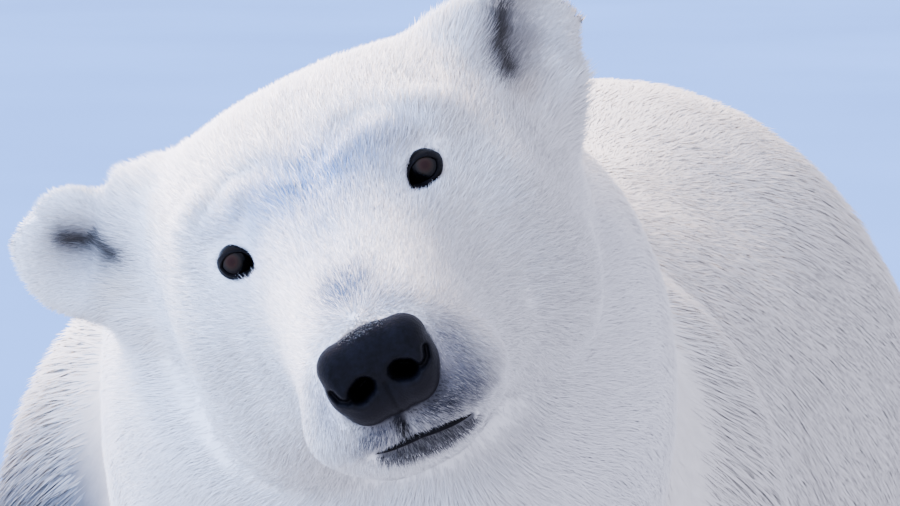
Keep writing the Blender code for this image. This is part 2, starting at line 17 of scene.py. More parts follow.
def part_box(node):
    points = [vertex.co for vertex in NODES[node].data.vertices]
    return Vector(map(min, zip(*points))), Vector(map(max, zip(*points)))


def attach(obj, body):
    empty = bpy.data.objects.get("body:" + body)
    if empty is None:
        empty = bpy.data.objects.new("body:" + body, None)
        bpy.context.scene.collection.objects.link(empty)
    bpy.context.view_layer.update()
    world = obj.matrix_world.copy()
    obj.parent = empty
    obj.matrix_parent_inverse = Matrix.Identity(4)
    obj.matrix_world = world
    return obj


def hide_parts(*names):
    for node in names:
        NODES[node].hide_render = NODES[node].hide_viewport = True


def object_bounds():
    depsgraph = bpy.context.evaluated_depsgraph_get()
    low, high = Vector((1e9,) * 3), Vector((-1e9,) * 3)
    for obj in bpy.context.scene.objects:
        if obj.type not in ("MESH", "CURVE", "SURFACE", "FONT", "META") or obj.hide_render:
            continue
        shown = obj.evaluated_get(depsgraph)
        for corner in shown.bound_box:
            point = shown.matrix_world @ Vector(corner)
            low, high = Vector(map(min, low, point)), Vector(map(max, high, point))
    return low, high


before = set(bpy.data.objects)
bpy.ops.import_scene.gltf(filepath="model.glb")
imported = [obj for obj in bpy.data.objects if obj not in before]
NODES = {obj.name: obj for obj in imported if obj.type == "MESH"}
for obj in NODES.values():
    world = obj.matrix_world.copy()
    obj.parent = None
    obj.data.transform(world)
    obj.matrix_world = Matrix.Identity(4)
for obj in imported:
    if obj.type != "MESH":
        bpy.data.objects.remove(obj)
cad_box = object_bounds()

LEFT, RIGHT = 1, -1
FLESH = [n for n in NODES if not any(k in n for k in ("eye", "nose", "claw"))]
CLAWS = [n for n in NODES if "claw" in n]

SIDES = (("left", LEFT), ("right", RIGHT))

# The onlooker stands this far round to one side and looks down by this much. The head faces
# the onlooker and is then cocked, turned and nodded. Its own frame has X to the bear's left,
# -Y along the nose and Z up, and lies between the eyes.
LOOK_SIDE = math.radians(11)
LOOK_DOWN = math.radians(6)
COCK = math.radians(26.6)
TURN = math.radians(5.0)
NOD = math.radians(9)
FORE_FEET_BEHIND_EYES = 0.74

# Camera: how far from the eyes, how far to its right and up, and how wide a view there
CAMERA_AWAY = 3.0
CAMERA_SHIFT = (0.0763, -0.0248)
VIEW_WIDTH = 0.5652
SENSOR = 0.036
NEAREST_SEEN, FARTHEST_SEEN = 0.1, 1000

# Eyes
EYE_AT = (0.0665, 0.008, -0.0025)
EYE_SLANT = math.radians(24)
EYE_OUT = math.radians(30)
EYE_RADIUS = 0.0130
EYE_BACK = 0.0015  # how much deeper than the solid eye the eyeball sits
EYE_REGION = (-0.045, 0.012)  # what lies between these along the eye's axis is by the eye
GAZE = (-0.18, -0.92, 0.345)
CORNEA_WIDTH = 0.42
CORNEA_RISE = 0.03
# The slit and the lids' outer edge, from the middle: inwards, outwards, up and down
LIDS_AT = (-0.0038, 0.0014)
LIDS_SLANT = math.radians(6)
SLIT = (0.0132, 0.0092, 0.0084, 0.0058)
LIDS = (0.0188, 0.0138, 0.0092, 0.0088)
LID_POWERS = (1.8, 1.45)  # the outline's sharpness at the inner and outer corner
LID_TURNS = 180  # points that the lids' outline is measured with

# Ears: the middle and radii of each, its hollows, and the slope that parts it from the head
EAR_AT = {"left": (0.156, 0.1255, 0.033), "right": (0.175, 0.1255, 0.032)}
EAR_RADII = {"left": (0.0440, 0.0200, 0.0510), "right": (0.0515, 0.0200, 0.0515)}
EAR_OPEN = math.radians(18)
EAR_HOLLOWS = (  # middle, radii and depth, in the ear's own frame
    ((0.004, -0.022, 0.002), (0.030, 0.030, 0.032), 0.020),
    ((-0.018, -0.020, 0.002), (0.018, 0.030, 0.012), 0.010),
)
EAR_ROOT = (0.130, 0.066)
EAR_SLOPE = math.radians(35)
EAR_LINE = 0.1255
EAR_TOP_ROOM = 0.014  # the ear is pressed down from here under the top of the solids
EAR_TOP_PRESS = 0.35

# The nose pad's middle height, half its width, how far it reaches up and down, how square
# its outline is, and the place along the head in front of which it lies
PAD_MIDDLE = -0.079
PAD_HALF, PAD_UP, PAD_DOWN = 0.0350, 0.0270, 0.0285
PAD_POWER = 2.5
PAD_FRONT = -0.105

SEED = 7
FAR_OFF = 9.0  # stands for the distance of all that isn't near


def srgb(r, g, b):
    """A colour as linear light, from 0 to 255 as a screen shows it."""
    out = []
    for value in (r, g, b):
        v = value / 255
        out.append(v / 12.92 if v <= 0.04045 else ((v + 0.055) / 1.055) ** 2.4)
    return tuple(out)


# Small tools


def look_axes():
    """The directions to the onlooker's right, ahead and up."""
    right = Vector((math.cos(LOOK_SIDE), math.sin(LOOK_SIDE), 0))
    level = Vector((-math.sin(LOOK_SIDE), math.cos(LOOK_SIDE), 0))
    ahead = level * math.cos(LOOK_DOWN) - Vector((0, 0, math.sin(LOOK_DOWN)))
    return right, ahead, right.cross(ahead)


def head_turn():
    look = Matrix(look_axes()).transposed().to_4x4()
    cock = Matrix.Rotation(-COCK, 4, "Y")
    turn = Matrix.Rotation(-TURN, 4, "Z")
    nod = Matrix.Rotation(NOD, 4, "X")
    return look @ cock @ turn @ nod


def eyes_middle():
    """Midway between the eyes, on the head frame's own level."""
    centres = [sum(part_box(name), Vector()) / 2 for name in ("left_eye", "right_eye")]
    middle = (centres[0] + centres[1]) / 2
    return middle - head_turn() @ Vector((0, EYE_AT[1], EYE_AT[2]))


EYES_AT = eyes_middle()
HEAD = Matrix.Translation(EYES_AT) @ head_turn()
FORE_FEET = EYES_AT.y + FORE_FEET_BEHIND_EYES  # where the fore feet stand along Y


def eye_frame(side):
    """An eyeball's own frame, with -Y out of the face."""
    x, y, z = EYE_AT
    out = Matrix.Rotation(side * EYE_OUT, 4, "Z")
    slant = Matrix.Rotation(-side * EYE_SLANT, 4, "Y")
    place = HEAD @ Matrix.Translation((side * x, y, z)) @ out @ slant
    return place @ Matrix.Translation((0, EYE_BACK, 0))


def almond(sizes, angle):
    """A point of the outline with these reaches inwards, outwards, up and down."""
    inwards, outwards, up, down = sizes
    c, s = math.cos(angle), math.sin(angle)
    power = LID_POWERS[0 if c < 0 else 1]
    z = math.copysign(abs(s) ** power, s) * (up if s > 0 else down)
    return c * (inwards if c < 0 else outwards), z


def lid_reach(points, side):
    """How far out each point lies across the lids, 1 at their edge."""
    x, y, z = into(points, eye_frame(side)).T
    x, z = side * x - LIDS_AT[0], z - LIDS_AT[1]
    c, s = math.cos(LIDS_SLANT), math.sin(LIDS_SLANT)
    x, z = x * c - z * s, x * s + z * c
    turns = np.linspace(0, math.tau, LID_TURNS, endpoint=False)
    outline = np.array([almond(LIDS, turn) for turn in turns])
    angles = np.arctan2(outline[:, 1], outline[:, 0])
    order = np.argsort(angles)
    edge = np.hypot(outline[:, 0], outline[:, 1])[order]
    wide = np.hypot(x, z) / np.interp(np.arctan2(z, x), angles[order], edge, period=math.tau)
    return np.where((y > EYE_REGION[0]) & (y < EYE_REGION[1]), wide, FAR_OFF)


# Meshes


def new_object(name, bm, smooth=True):
    mesh = bpy.data.meshes.new(name)
    bm.to_mesh(mesh)
    bm.free()
    obj = bpy.data.objects.new(name, mesh)
    bpy.context.scene.collection.objects.link(obj)
    if smooth:
        mesh.shade_smooth()
    return obj


def apply_modifiers(obj):
    graph = bpy.context.evaluated_depsgraph_get()
    graph.update()
    made = bpy.data.meshes.new_from_object(obj.evaluated_get(graph))
    obj.modifiers.clear()
    old = obj.data
    obj.data = made
    bpy.data.meshes.remove(old)


def remesh(obj, voxel):
    modifier = obj.modifiers.new("whole", "REMESH")
    modifier.mode = "VOXEL"
    modifier.voxel_size = voxel
    apply_modifiers(obj)
    obj.data.shade_smooth()


def read(rows, key, width, kind=np.float32):
    """One property of every row, as a table of this width."""
    flat = np.empty(len(rows) * width, dtype=kind)
    rows.foreach_get(key, flat)
    return flat.reshape(-1, width)


def positions(mesh):
    return read(mesh.vertices, "co", 3).astype(float)


def set_positions(mesh, points):
    mesh.vertices.foreach_set("co", points.astype(np.float32).ravel())
    mesh.update()


def normals(mesh):
    return read(mesh.vertex_normals, "vector", 3).astype(float)


LAYERS = {1: ("FLOAT", "value"), 3: ("FLOAT_VECTOR", "vector"), 4: ("FLOAT_COLOR", "color")}


def add_layer(mesh, name, values):
    """Numbers for each vertex: one, three for a place, or four for a colour."""
    kind, key = LAYERS[values.size // len(values)]
    layer = mesh.attributes.new(name, kind, "POINT")
    layer.data.foreach_set(key, values.astype(np.float32).ravel())


def finish_piece(obj, material):
    obj.data.materials.append(material)
    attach(obj, "root")


def pour(part, whole):
    """Adds one bmesh to another and frees it."""
    mesh = bpy.data.meshes.new("part")
    part.to_mesh(mesh)
    part.free()
    whole.from_mesh(mesh)
    bpy.data.meshes.remove(mesh)


def lofted(bm, rings):
    """Joins rings of points by bridges."""
    loops = []
    for points in rings:
        made = bmesh.ops.create_circle(bm, segments=len(points), radius=1)["verts"]
        for vert, point in zip(made, points):
            vert.co = point
        loops.append(list(dict.fromkeys(e for v in made for e in v.link_edges)))
    for first, second in zip(loops, loops[1:]):
        bmesh.ops.bridge_loops(bm, edges=first + second)
    return loops


PULL = 0.5  # how far one step of smoothing goes


def smoothed(mesh, values, steps, weights):
    """Each vertex's values drawn towards the mean of its neighbours."""
    first, second = read(mesh.edges, "vertices", 2, np.int32).T
    count = len(mesh.vertices)
    values = values.copy()
    neighbours = np.bincount(first, minlength=count) + np.bincount(second, minlength=count)
    for _ in range(steps):
        total = np.stack(
            [
                np.bincount(first, values[second, k], count)
                + np.bincount(second, values[first, k], count)
                for k in range(values.shape[1])
            ],
            axis=1,
        )
        values += (total / neighbours[:, None] - values) * (PULL * weights)[:, None]
    return values


def unit(vectors):
    return vectors / np.maximum(np.linalg.norm(vectors, axis=1, keepdims=True), 1e-9)


def into(points, place):
    """World points in the frame that place stands for."""
    inverse = np.array(place.inverted())
    return points @ inverse[:3, :3].T + inverse[:3, 3]


def turned(vector, place=HEAD):
    """A direction of the frame, in the world."""
    return np.array(place.to_3x3() @ Vector(vector))


def directions_out(vectors):
    """Directions of the head's frame, in the world."""
    return vectors @ np.array(HEAD.to_3x3()).T


def fade(value, low, high):
    """0 at low and beyond, 1 at high and beyond, smooth between; low may be the larger."""
    t = np.clip((value - low) / (high - low), 0, 1)
    return t * t * (3 - 2 * t)


def inside_box(points, margin=0.0003):
    """The points, kept within the box of the solids."""
    low, high = (np.array(corner) for corner in cad_box)
    return np.clip(points, low + margin, high - margin)


def near(points, centre, radii):
    """1 at the centre, fading to nothing at about twice the radii."""
    return np.exp(-(((points - np.array(centre)) / np.array(radii)) ** 2).sum(axis=1))


def hump(away, width):
    """1 where the distance is nothing, fading to nothing at about twice the width."""
    return np.exp(-((away / width) ** 2))


WAVES = 7  # waves that add up to a soft pattern over the body


def soft_pattern(points, size, seed):
    """A smooth pattern between about -1 and 1, with swells of about this size."""
    rng = np.random.default_rng(seed)
    total = np.zeros(len(points))
    for _ in range(WAVES):
        direction = unit(rng.normal(size=(1, 3)))[0] * rng.uniform(0.6, 1.5)
        total += np.sin(points @ direction * (math.tau / size) + rng.uniform(0, math.tau))
    return total / math.sqrt(WAVES * 2)


def path_distance(points, path):
    """Distance from each point to a line through the path's points."""
    best = np.full(len(points), np.inf)
    for a, b in zip(np.array(path[:-1]), np.array(path[1:])):
        along = b - a
        t = np.clip((points - a) @ along / (along @ along), 0, 1)
        best = np.minimum(best, np.linalg.norm(points - a - t[:, None] * along, axis=1))
    return best


# Materials


class Value:
    """A node's output that can be used in arithmetic."""

    def __init__(self, material, socket):
        self.material = material
        self.socket = socket

    def math(self, operation, *values):
        inputs = dict(enumerate(values))
        return self.material.node("ShaderNodeMath", {"operation": operation}, inputs)

    def __add__(self, other):
        return self.math("ADD", self, other)

    def __mul__(self, other):
        return self.math("MULTIPLY", self, other)

    def __sub__(self, other):
        return self.math("SUBTRACT", self, other)


class Material:
    """A material on one Principled shader."""

    def __init__(self, name, **uniform):
        self.made = bpy.data.materials.new(name)
        self.made.use_nodes = True
        self.tree = self.made.node_tree
        self.shader = self.tree.nodes["Principled BSDF"]
        for socket, value in uniform.items():
            self.shader.inputs[socket.replace("_", " ")].default_value = value

    def node(self, kind, settings=None, inputs=None, output=0):
        made = self.tree.nodes.new(kind)
        for key, value in (settings or {}).items():
            setattr(made, key, value)
        for key, value in (inputs or {}).items():
            if isinstance(value, Value):
                self.tree.links.new(value.socket, made.inputs[key])
            else:
                made.inputs[key].default_value = value
        return Value(self, made.outputs[output])

    def attribute(self, name, output="Fac"):
        return self.node("ShaderNodeAttribute", {"attribute_name": name}, output=output)

    def place(self):
        return self.node("ShaderNodeTexCoord", output="Object")

    def noise(self, vector, scale, detail=2.0):
        inputs = {"Vector": vector, "Scale": scale, "Detail": detail}
        return self.node("ShaderNodeTexNoise", inputs=inputs)

    def stretched(self, vector, scale):
        """The vector scaled by a different amount along each axis."""
        inputs = {0: vector, 1: scale}
        return self.node("ShaderNodeVectorMath", {"operation": "MULTIPLY"}, inputs)

    def mix(self, factor, first, second, blend="MIX"):
        """A mix of two colours, each a value or three numbers."""
        settings = {"data_type": "RGBA", "blend_type": blend}
        first, second = (c if isinstance(c, Value) else (*c, 1) for c in (first, second))
        return self.node("ShaderNodeMix", settings, {0: factor, 6: first, 7: second}, output=2)

    def shaded(self, colour, shade):
        """The colour times a shade."""
        shades = self.node("ShaderNodeCombineColor", inputs={0: shade, 1: shade, 2: shade})
        return self.mix(1.0, colour, shades, "MULTIPLY")

    def ramp(self, factor, stops):
        made = self.node("ShaderNodeValToRGB", inputs={0: factor})
        elements = made.socket.node.color_ramp.elements
        while len(elements) < len(stops):
            elements.new(1.0)
        for element, (at, colour) in zip(elements, stops):
            element.position = at
            element.color = (*colour, 1)
        return made

    def clamp(self, value, low, high, to_low=0.0, to_high=1.0):
        inputs = {"Value": value, "From Min": low, "From Max": high}
        inputs |= {"To Min": to_low, "To Max": to_high}
        return self.node("ShaderNodeMapRange", inputs=inputs)

    def bump(self, height, strength, distance):
        inputs = {"Height": height, "Strength": strength, "Distance": distance}
        return self.node("ShaderNodeBump", inputs=inputs)

    def to(self, socket, value):
        self.tree.links.new(value.socket, self.shader.inputs[socket])


NOISE_SPAN = (0.3, 0.7)  # a noise pattern's usual least and most


def skin_material():
    made = Material("short_fur_and_skin", Roughness=0.85, Specular_IOR_Level=0.1)
    flow = made.attribute("flow", "Vector")
    streaks = made.noise(made.stretched(flow, (900, 90, 1)), 1.0)
    tone = made.noise(made.place(), 9.0)
    shade = made.clamp(streaks * 0.7 + tone * 0.3, *NOISE_SPAN, 0.86, 1.04)
    made.to("Base Color", made.shaded(made.attribute("coat_colour", "Color"), shade))
    made.to("Normal", made.bump(streaks, 0.35, 0.0012))
    return made.made


def coat_material():
    """Hair with painted shade towards its roots, a little different from tuft to tuft."""
    made = Material("guard_hair", Roughness=0.7, Specular_IOR_Level=0.12)
    painted_root_shade = made.clamp(made.attribute("along"), 0.0, 0.8, 0.80, 1.0)
    own = made.clamp(made.attribute("own"), -0.7, 0.9, 0.62, 1.03)
    tone = made.clamp(made.noise(made.place(), 7.0), *NOISE_SPAN, 0.95, 1.02)
    shade = painted_root_shade * own * tone
    made.to("Base Color", made.shaded(made.attribute("coat_colour", "Color"), shade))
    return made.made


# The lie of the coat

WHORL = (-0.002, -0.103, -0.083)  # the hair of the head runs back from here
BRIDGE_WHORL = (-0.002, -0.128, -0.042)  # and parts here, just above the nose pad

# Region: depth, tuft length, tuft width, tufts to a square centimetre, ruffle
BODY = (0.0062, 0.060, 0.0046, 2.6, 0.28)
REGIONS = (
    ("shoulders", (0.0036, 0.046, 0.0034, 5.4, 0.16)),
    ("legs", (0.0070, 0.040, 0.0038, 3.4, 0.50)),
    ("shanks", (0.0060, 0.030, 0.0032, 4.4, 0.55)),
    ("paws", (0.0045, 0.015, 0.0024, 5.5, 0.70)),
    ("tail", (0.0090, 0.042, 0.0040, 4.2, 0.70)),
    ("neck", (0.0054, 0.032, 0.0018, 19.0, 0.40)),
    ("nape", (0.0050, 0.020, 0.0011, 52.0, 0.80)),
    ("face", (0.0038, 0.0140, 0.0010, 90.0, 1.9)),
    ("muzzle", (0.0027, 0.0080, 0.00075, 150.0, 1.8)),
    ("ears", (0.0030, 0.0075, 0.0009, 105.0, 0.90)),
)

# Where each region's measures fade in, from the first value to the second: along the body
# behind the fore feet, above the floor, back along the head, and up the head
BANDS = {
    "shoulders": {"behind": (1.05, 0.75), "height": (0.70, 0.88)},
    "legs": {"height": (0.62, 0.46)},
    "shanks": {"height": (0.42, 0.25)},
    "paws": {"height": (0.16, 0.10)},
    "tail": {"behind": (1.385, 1.43)},
    "neck": {"back": (0.44, 0.27)},
    "nape": {"back": (0.23, 0.15), "level": (-0.24, -0.19)},
    "face": {"back": (0.11, 0.045), "level": (-0.20, -0.15)},
    "muzzle": {"back": (-0.02, -0.07)},
}
EAR_FADE = (-0.016, 0.004)
EAR_DEPTH = (0.065, 0.050)


def ear_place(name, side, shift):
    """A place of the head's frame, that far from the ear's middle."""
    x, y, z = (a + b for a, b in zip(EAR_AT[name], shift))
    return (side * x, y, z)


def in_ears(own, side):
    """1 on the ear of that side, fading out at its root."""
    out = (side * own[:, 0] - EAR_ROOT[0]) * math.cos(EAR_SLOPE)
    out += (own[:, 2] - EAR_ROOT[1]) * math.sin(EAR_SLOPE)
    return fade(out, *EAR_FADE) * fade(np.abs(own[:, 1] - EAR_LINE), *EAR_DEPTH)


def region_masks(points):
    own = into(points, HEAD)
    places = {"behind": points[:, 1] - FORE_FEET, "height": points[:, 2]}
    places |= {"back": own[:, 1], "level": own[:, 2]}
    masks = {"ears": np.maximum(in_ears(own, LEFT), in_ears(own, RIGHT))}
    for name, bands in BANDS.items():
        masks[name] = math.prod(fade(places[kind], *band) for kind, band in bands.items())
    return masks


def region_values(points):
    masks = region_masks(points)
    values = np.tile(np.array(BODY), (len(points), 1))
    for name, row in REGIONS:
        values += (np.array(row) - values) * masks[name][:, None]
    return values


# Where the hair of the trunk turns down, and how it lies there and elsewhere
FLANK = (0.05, 0.30)
BACK_FALL, FLANK_FALL = -0.25, -1.0
LEG_LIE, LEG_BAND = (0.0, 0.22, -1.0), (0.66, 0.45)
PAW_LIE, PAW_BAND = (0.0, -1.0, -0.9), (0.15, 0.09)
TAIL_LIE = (0.0, 0.25, -1.0)
NECK_LIE, NECK_FALL, NECK_BAND = (0, 1, -0.25), 0.5, (0.50, 0.26)
HEAD_BAND = (0.26, 0.12)
BRIDGE_RADII = (0.020, 0.020, 0.012)
EAR_BASE = (-0.035, 0.0, -0.030)  # from the ear's middle: the ear's hair runs out from here
EAR_LIE_BACK = (0.0, 0.6, 0.0)


def lie_of_hair(points, normal):
    """The direction, along the skin, in which the hair grows."""
    own = into(points, HEAD)
    behind, height = points[:, 1] - FORE_FEET, points[:, 2]
    flank = fade(np.abs(points[:, 0]), *FLANK)
    fall = BACK_FALL + (FLANK_FALL - BACK_FALL) * flank
    lie = unit(np.column_stack([np.zeros(len(own)), np.ones(len(own)), fall]))

    def blend(mask, direction):
        nonlocal lie
        direction = unit(np.broadcast_to(direction, lie.shape))
        lie = unit(lie + (direction - lie) * mask[:, None])

    blend(fade(height, *LEG_BAND), LEG_LIE)
    blend(fade(height, *PAW_BAND), PAW_LIE)
    blend(fade(behind, *BANDS["tail"]["behind"]), TAIL_LIE)
    neck = turned(NECK_LIE) - NECK_FALL * np.array((0, 0, 1))
    blend(fade(own[:, 1], *NECK_BAND), neck)
    blend(fade(own[:, 1], *HEAD_BAND), directions_out(unit(own - np.array(WHORL))))
    bridge = np.clip(1.3 * near(own, BRIDGE_WHORL, BRIDGE_RADII), 0, 1)
    blend(bridge, directions_out(unit(own - np.array(BRIDGE_WHORL))))
    for name, side in SIDES:
        base = ear_place(name, side, EAR_BASE)
        out = unit(own - np.array(base)) + np.array(EAR_LIE_BACK)
        blend(in_ears(own, side), directions_out(out))
    lie -= (lie * normal).sum(axis=1, keepdims=True) * normal
    return unit(lie)


# Markings and painted shade

# The mouth line of the head and the lower edge of the dark lip, across the head
MOUTH = (
    (-0.031, -0.1236),
    (-0.010, -0.1231),
    (0.003, -0.1234),
    (0.016, -0.1253),
    (0.038, -0.1293),
)
LIP_EDGE = (
    (-0.031, -0.1262),
    (-0.0195, -0.1322),
    (-0.0055, -0.1362),
    (0.011, -0.1376),
    (0.026, -0.1366),
    (0.0356, -0.1336),
    (0.040, -0.1300),
)
MOUTH_ENDS = (-0.030, 0.0385)
MOUTH_FRONT = -0.10
LIP_TOP_FADE = (0.0022, 0.0002)
LIP_EDGE_FADE = 0.0016


def level_of(own, line):
    """The height of a line across the head, at each point's place across."""
    across, height = zip(*line)
    return np.interp(own[:, 0], across, height)


def lip_height(own):
    """How far above the mouth line a point of the muzzle's front lies."""
    height = own[:, 2] - level_of(own, MOUTH)
    across = (own[:, 0] > MOUTH_ENDS[0]) & (own[:, 0] < MOUTH_ENDS[1])
    return np.where(across & (own[:, 1] < MOUTH_FRONT), height, FAR_OFF)


def on_lip(own):
    """1 on the dark band under the mouth line."""
    below = own[:, 2] - level_of(own, LIP_EDGE)
    share = fade(lip_height(own), *LIP_TOP_FADE) * fade(below, -LIP_EDGE_FADE, LIP_EDGE_FADE)
    ends = fade(own[:, 0], MOUTH_ENDS[0], MOUTH_ENDS[0] + 0.006)
    return share * ends * fade(own[:, 0], MOUTH_ENDS[1] + 0.001, MOUTH_ENDS[1] - 0.003)


def pad_reach(own):
    """How far out a point of the muzzle's front lies across the nose pad, 1 at its edge."""
    high = own[:, 2] - PAD_MIDDLE
    across = np.abs(own[:, 0]) / PAD_HALF
    up = np.abs(high) / np.where(high > 0, PAD_UP, PAD_DOWN)
    reach = (across**PAD_POWER + up**PAD_POWER) ** (1 / PAD_POWER)
    return np.where(own[:, 1] < PAD_FRONT, reach, FAR_OFF)


# The dark tuft in each ear, as a line from the ear's middle, and where it lies along the head
EAR_TUFT = {
    "left": ((-0.010, 0.016), (-0.0220, -0.002), (-0.0225, -0.018)),
    "right": ((-0.006, 0.0110), (-0.0205, -0.0005), (-0.031, -0.0110)),
}
EAR_TUFT_AHEAD = 0.018
EAR_TUFT_HALF = 0.030


def flat_distance(across, height, path):
    """Distance from each point to a line, seen from the front of the head."""
    flat = np.column_stack([across, height, np.zeros(len(across))])
    return path_distance(flat, [(x, z, 0) for x, z in path])


def ear_tuft_distance(own, name, side):
    x, y, z = EAR_AT[name]
    path = [(side * (x + dx), z + dz) for dx, dz in EAR_TUFT[name]]
    away = flat_distance(own[:, 0], own[:, 2], path)
    return np.where(np.abs(own[:, 1] - y + EAR_TUFT_AHEAD) < EAR_TUFT_HALF, away, FAR_OFF)


WHITE = srgb(243, 241, 236)
CREAM = srgb(224, 219, 209)
DARK = srgb(30, 31, 37)

# Markings of the head, many partly painted shade: centre, radii, colour, strength, on both sides
# alike
MARKINGS_AND_PAINTED_SHADE = (
    # Bluish grey on the bridge and round the eyes: grey skin showing through thin hair, with
    # painted bluish shade
    ((-0.002, -0.105, -0.031), (0.021, 0.028, 0.018), srgb(80, 98, 124), 1.00, False),
    ((0.000, -0.060, -0.002), (0.036, 0.040, 0.020), srgb(150, 172, 205), 0.35, False),
    ((0.000, -0.010, 0.022), (0.052, 0.050, 0.022), srgb(118, 154, 202), 0.80, False),
    ((0.052, 0.004, 0.022), (0.020, 0.030, 0.011), srgb(120, 145, 178), 0.15, True),
    ((0.046, -0.010, -0.016), (0.018, 0.030, 0.012), srgb(150, 172, 205), 0.35, True),
    # Grey hair over dark skin along the lips, with painted shade on the bear's left side of the
    # muzzle
    ((0.040, -0.146, -0.104), (0.020, 0.045, 0.019), srgb(78, 80, 90), 0.95, False),
    ((0.024, -0.147, -0.101), (0.012, 0.030, 0.014), srgb(70, 72, 80), 0.90, False),
    ((0.020, -0.147, -0.113), (0.022, 0.045, 0.011), srgb(46, 48, 57), 0.98, False),
    ((-0.018, -0.147, -0.112), (0.021, 0.045, 0.009), srgb(74, 77, 88), 0.95, False),
    # Dark skin in the cleft under the nose, darkened further as painted shade
    ((-0.0035, -0.150, -0.113), (0.0045, 0.020, 0.011), srgb(16, 16, 20), 1.2, False),
    # Grey hair beside the nose pad, darker on the bear's left as painted shade
    ((0.041, -0.135, -0.084), (0.014, 0.040, 0.025), srgb(126, 128, 136), 0.80, False),
    ((-0.042, -0.135, -0.086), (0.008, 0.024, 0.016), srgb(150, 154, 168), 0.50, False),
    # Grey skin through thin hair beside the bridge, with painted bluish shade
    ((0.026, -0.128, -0.046), (0.016, 0.016, 0.008), srgb(140, 146, 160), 0.55, False),
)
# Painted shade on the fold in front of the right shoulder, placed from the fore feet
SHOULDER_PAINTED_SHADE = ((-0.25, -0.13, 0.90), (0.16, 0.16, 0.11), srgb(86, 88, 92), 1.3)
CREAM_BAND = (0.14, 0.45)
# Painted shade for the cup of each ear
EAR_PAINTED_SHADE = srgb(146, 146, 147)
EAR_DARK = srgb(42, 39, 37)
EAR_TAN = srgb(206, 190, 168)
# The ear's painted shade in its cup and its tan lower edge: from its middle, and radii
EAR_INSIDE = ((-0.012, -0.010, -0.002), (0.036, 0.050, 0.033))
EAR_LOW = ((-0.024, -0.020, -0.036), (0.014, 0.030, 0.011))
EAR_FRONT = (0.014, 0.002)
TUFT_HALO = 0.0135
TUFT_CORE = 0.0064
LID_HALO = (1.45, 1.05)  # these and the next three lie across the lids or the pad, 1 at their edge
LID_CORE = (1.10, 1.00)
PAD_HALO = (1.25, 1.00)
PAD_CORE = (1.05, 0.99)
PAD_LOW = (-0.088, -0.100)


def coat_colour(points, fleck=1.0):
    """The coat's colour with its painted shade; fleck varies the markings from tuft to tuft."""
    own = into(points, HEAD)
    colour = np.tile(np.array(WHITE), (len(points), 1))

    def paint(mask, tint):
        nonlocal colour
        colour = colour + (np.array(tint) - colour) * np.clip(mask, 0, 1)[:, None]

    paint(fade(own[:, 1], *CREAM_BAND), CREAM)
    # Painted shade on the front of the right shoulder
    place, radii, tint, strength = SHOULDER_PAINTED_SHADE
    even = strength * (0.6 + 0.4 * fleck)
    paint(even * near(points - np.array((0, FORE_FEET, 0)), place, radii), tint)
    # Markings of the head, partly painted shade
    for (x, y, z), radii, tint, strength, both in MARKINGS_AND_PAINTED_SHADE:
        for side in (LEFT, RIGHT) if both else (LEFT,):
            paint(strength * fleck * near(own, (side * x, y, z), radii), tint)
    for name, side in SIDES:
        ahead = fade(own[:, 1] - EAR_AT[name][1], *EAR_FRONT)
        inside, low = (
            near(own, ear_place(name, side, shift), radii)
            for shift, radii in (EAR_INSIDE, EAR_LOW)
        )
        # Painted shade in the front cup of the ear
        paint(0.85 * ahead * inside, EAR_PAINTED_SHADE)
        paint(0.55 * low, EAR_TAN)
        away = ear_tuft_distance(own, name, side)
        paint(0.45 * fleck * hump(away, TUFT_HALO), EAR_DARK)
        paint(0.92 * hump(away, TUFT_CORE), EAR_DARK)
        wide = lid_reach(points, side)
        paint(0.45 * fleck * fade(wide, *LID_HALO), DARK)
        paint(0.90 * fade(wide, *LID_CORE), DARK)
    paint(np.clip(1.25 - 0.35 * fleck, 0, 0.98) * on_lip(own), DARK)
    pad = pad_reach(own)
    paint(0.70 * fade(pad, *PAD_HALO) * fade(own[:, 2], *PAD_LOW), DARK)
    paint(0.95 * fade(pad, *PAD_CORE), DARK)
    return np.column_stack([colour, np.ones(len(points))])


# Skin


VOXEL = 0.0108
MERGE_WITHIN = 1e-5
OVERLAP = 0.0009  # how far the solids grow so that they join
FINE_AT = ((0.0, 0.02, -0.03), 0.235)  # the head is divided once within this ball
FINER_AT = ((0.0, -0.045, -0.045), 0.135)  # and the face again within this one
SNAP_WITHIN = (0.235, 0.205)
FINEST_EDGE = 0.0026
SMOOTH_BODY, SMOOTH_FACE, SMOOTH_NORMALS, SMOOTH_LAST = 30, 8, 10, 3
HELD = 0.93  # how much of its shape the head, the paws and the tail keep
TAIL_HELD = 0.7
SKIN_ROOM = 0.001  # the least space between the skin and the box of the solids
SOLE_BAND = (0.05, 0.02)
SOLE_SLOPE = -0.6
SOLE_DEPTH = 0.15  # how deep the skin lies at the soles, as a share


def merged_copy(names, grow):
    """One mesh of the nodes' merged copies, each grown so that neighbours overlap."""
    whole = bmesh.new()
    for name in names:
        part = bmesh.new()
        part.from_mesh(NODES[name].data)
        bmesh.ops.remove_doubles(part, verts=part.verts[:], dist=MERGE_WITHIN)
        part.normal_update()
        for vert in part.verts:
            vert.co += vert.normal * grow
        pour(part, whole)
    return whole


def keep_largest(bm):
    """Deletes every shell but the one with the most vertices."""
    left = set(bm.verts)
    shells = []
    while left:
        shell = []
        stack = [left.pop()]
        while stack:
            vert = stack.pop()
            shell.append(vert)
            for edge in vert.link_edges:
                other = edge.other_vert(vert)
                if other in left:
                    left.remove(other)
                    stack.append(other)
        shells.append(shell)
    shells.sort(key=len)
    for shell in shells[:-1]:
        bmesh.ops.delete(bm, geom=shell, context="VERTS")


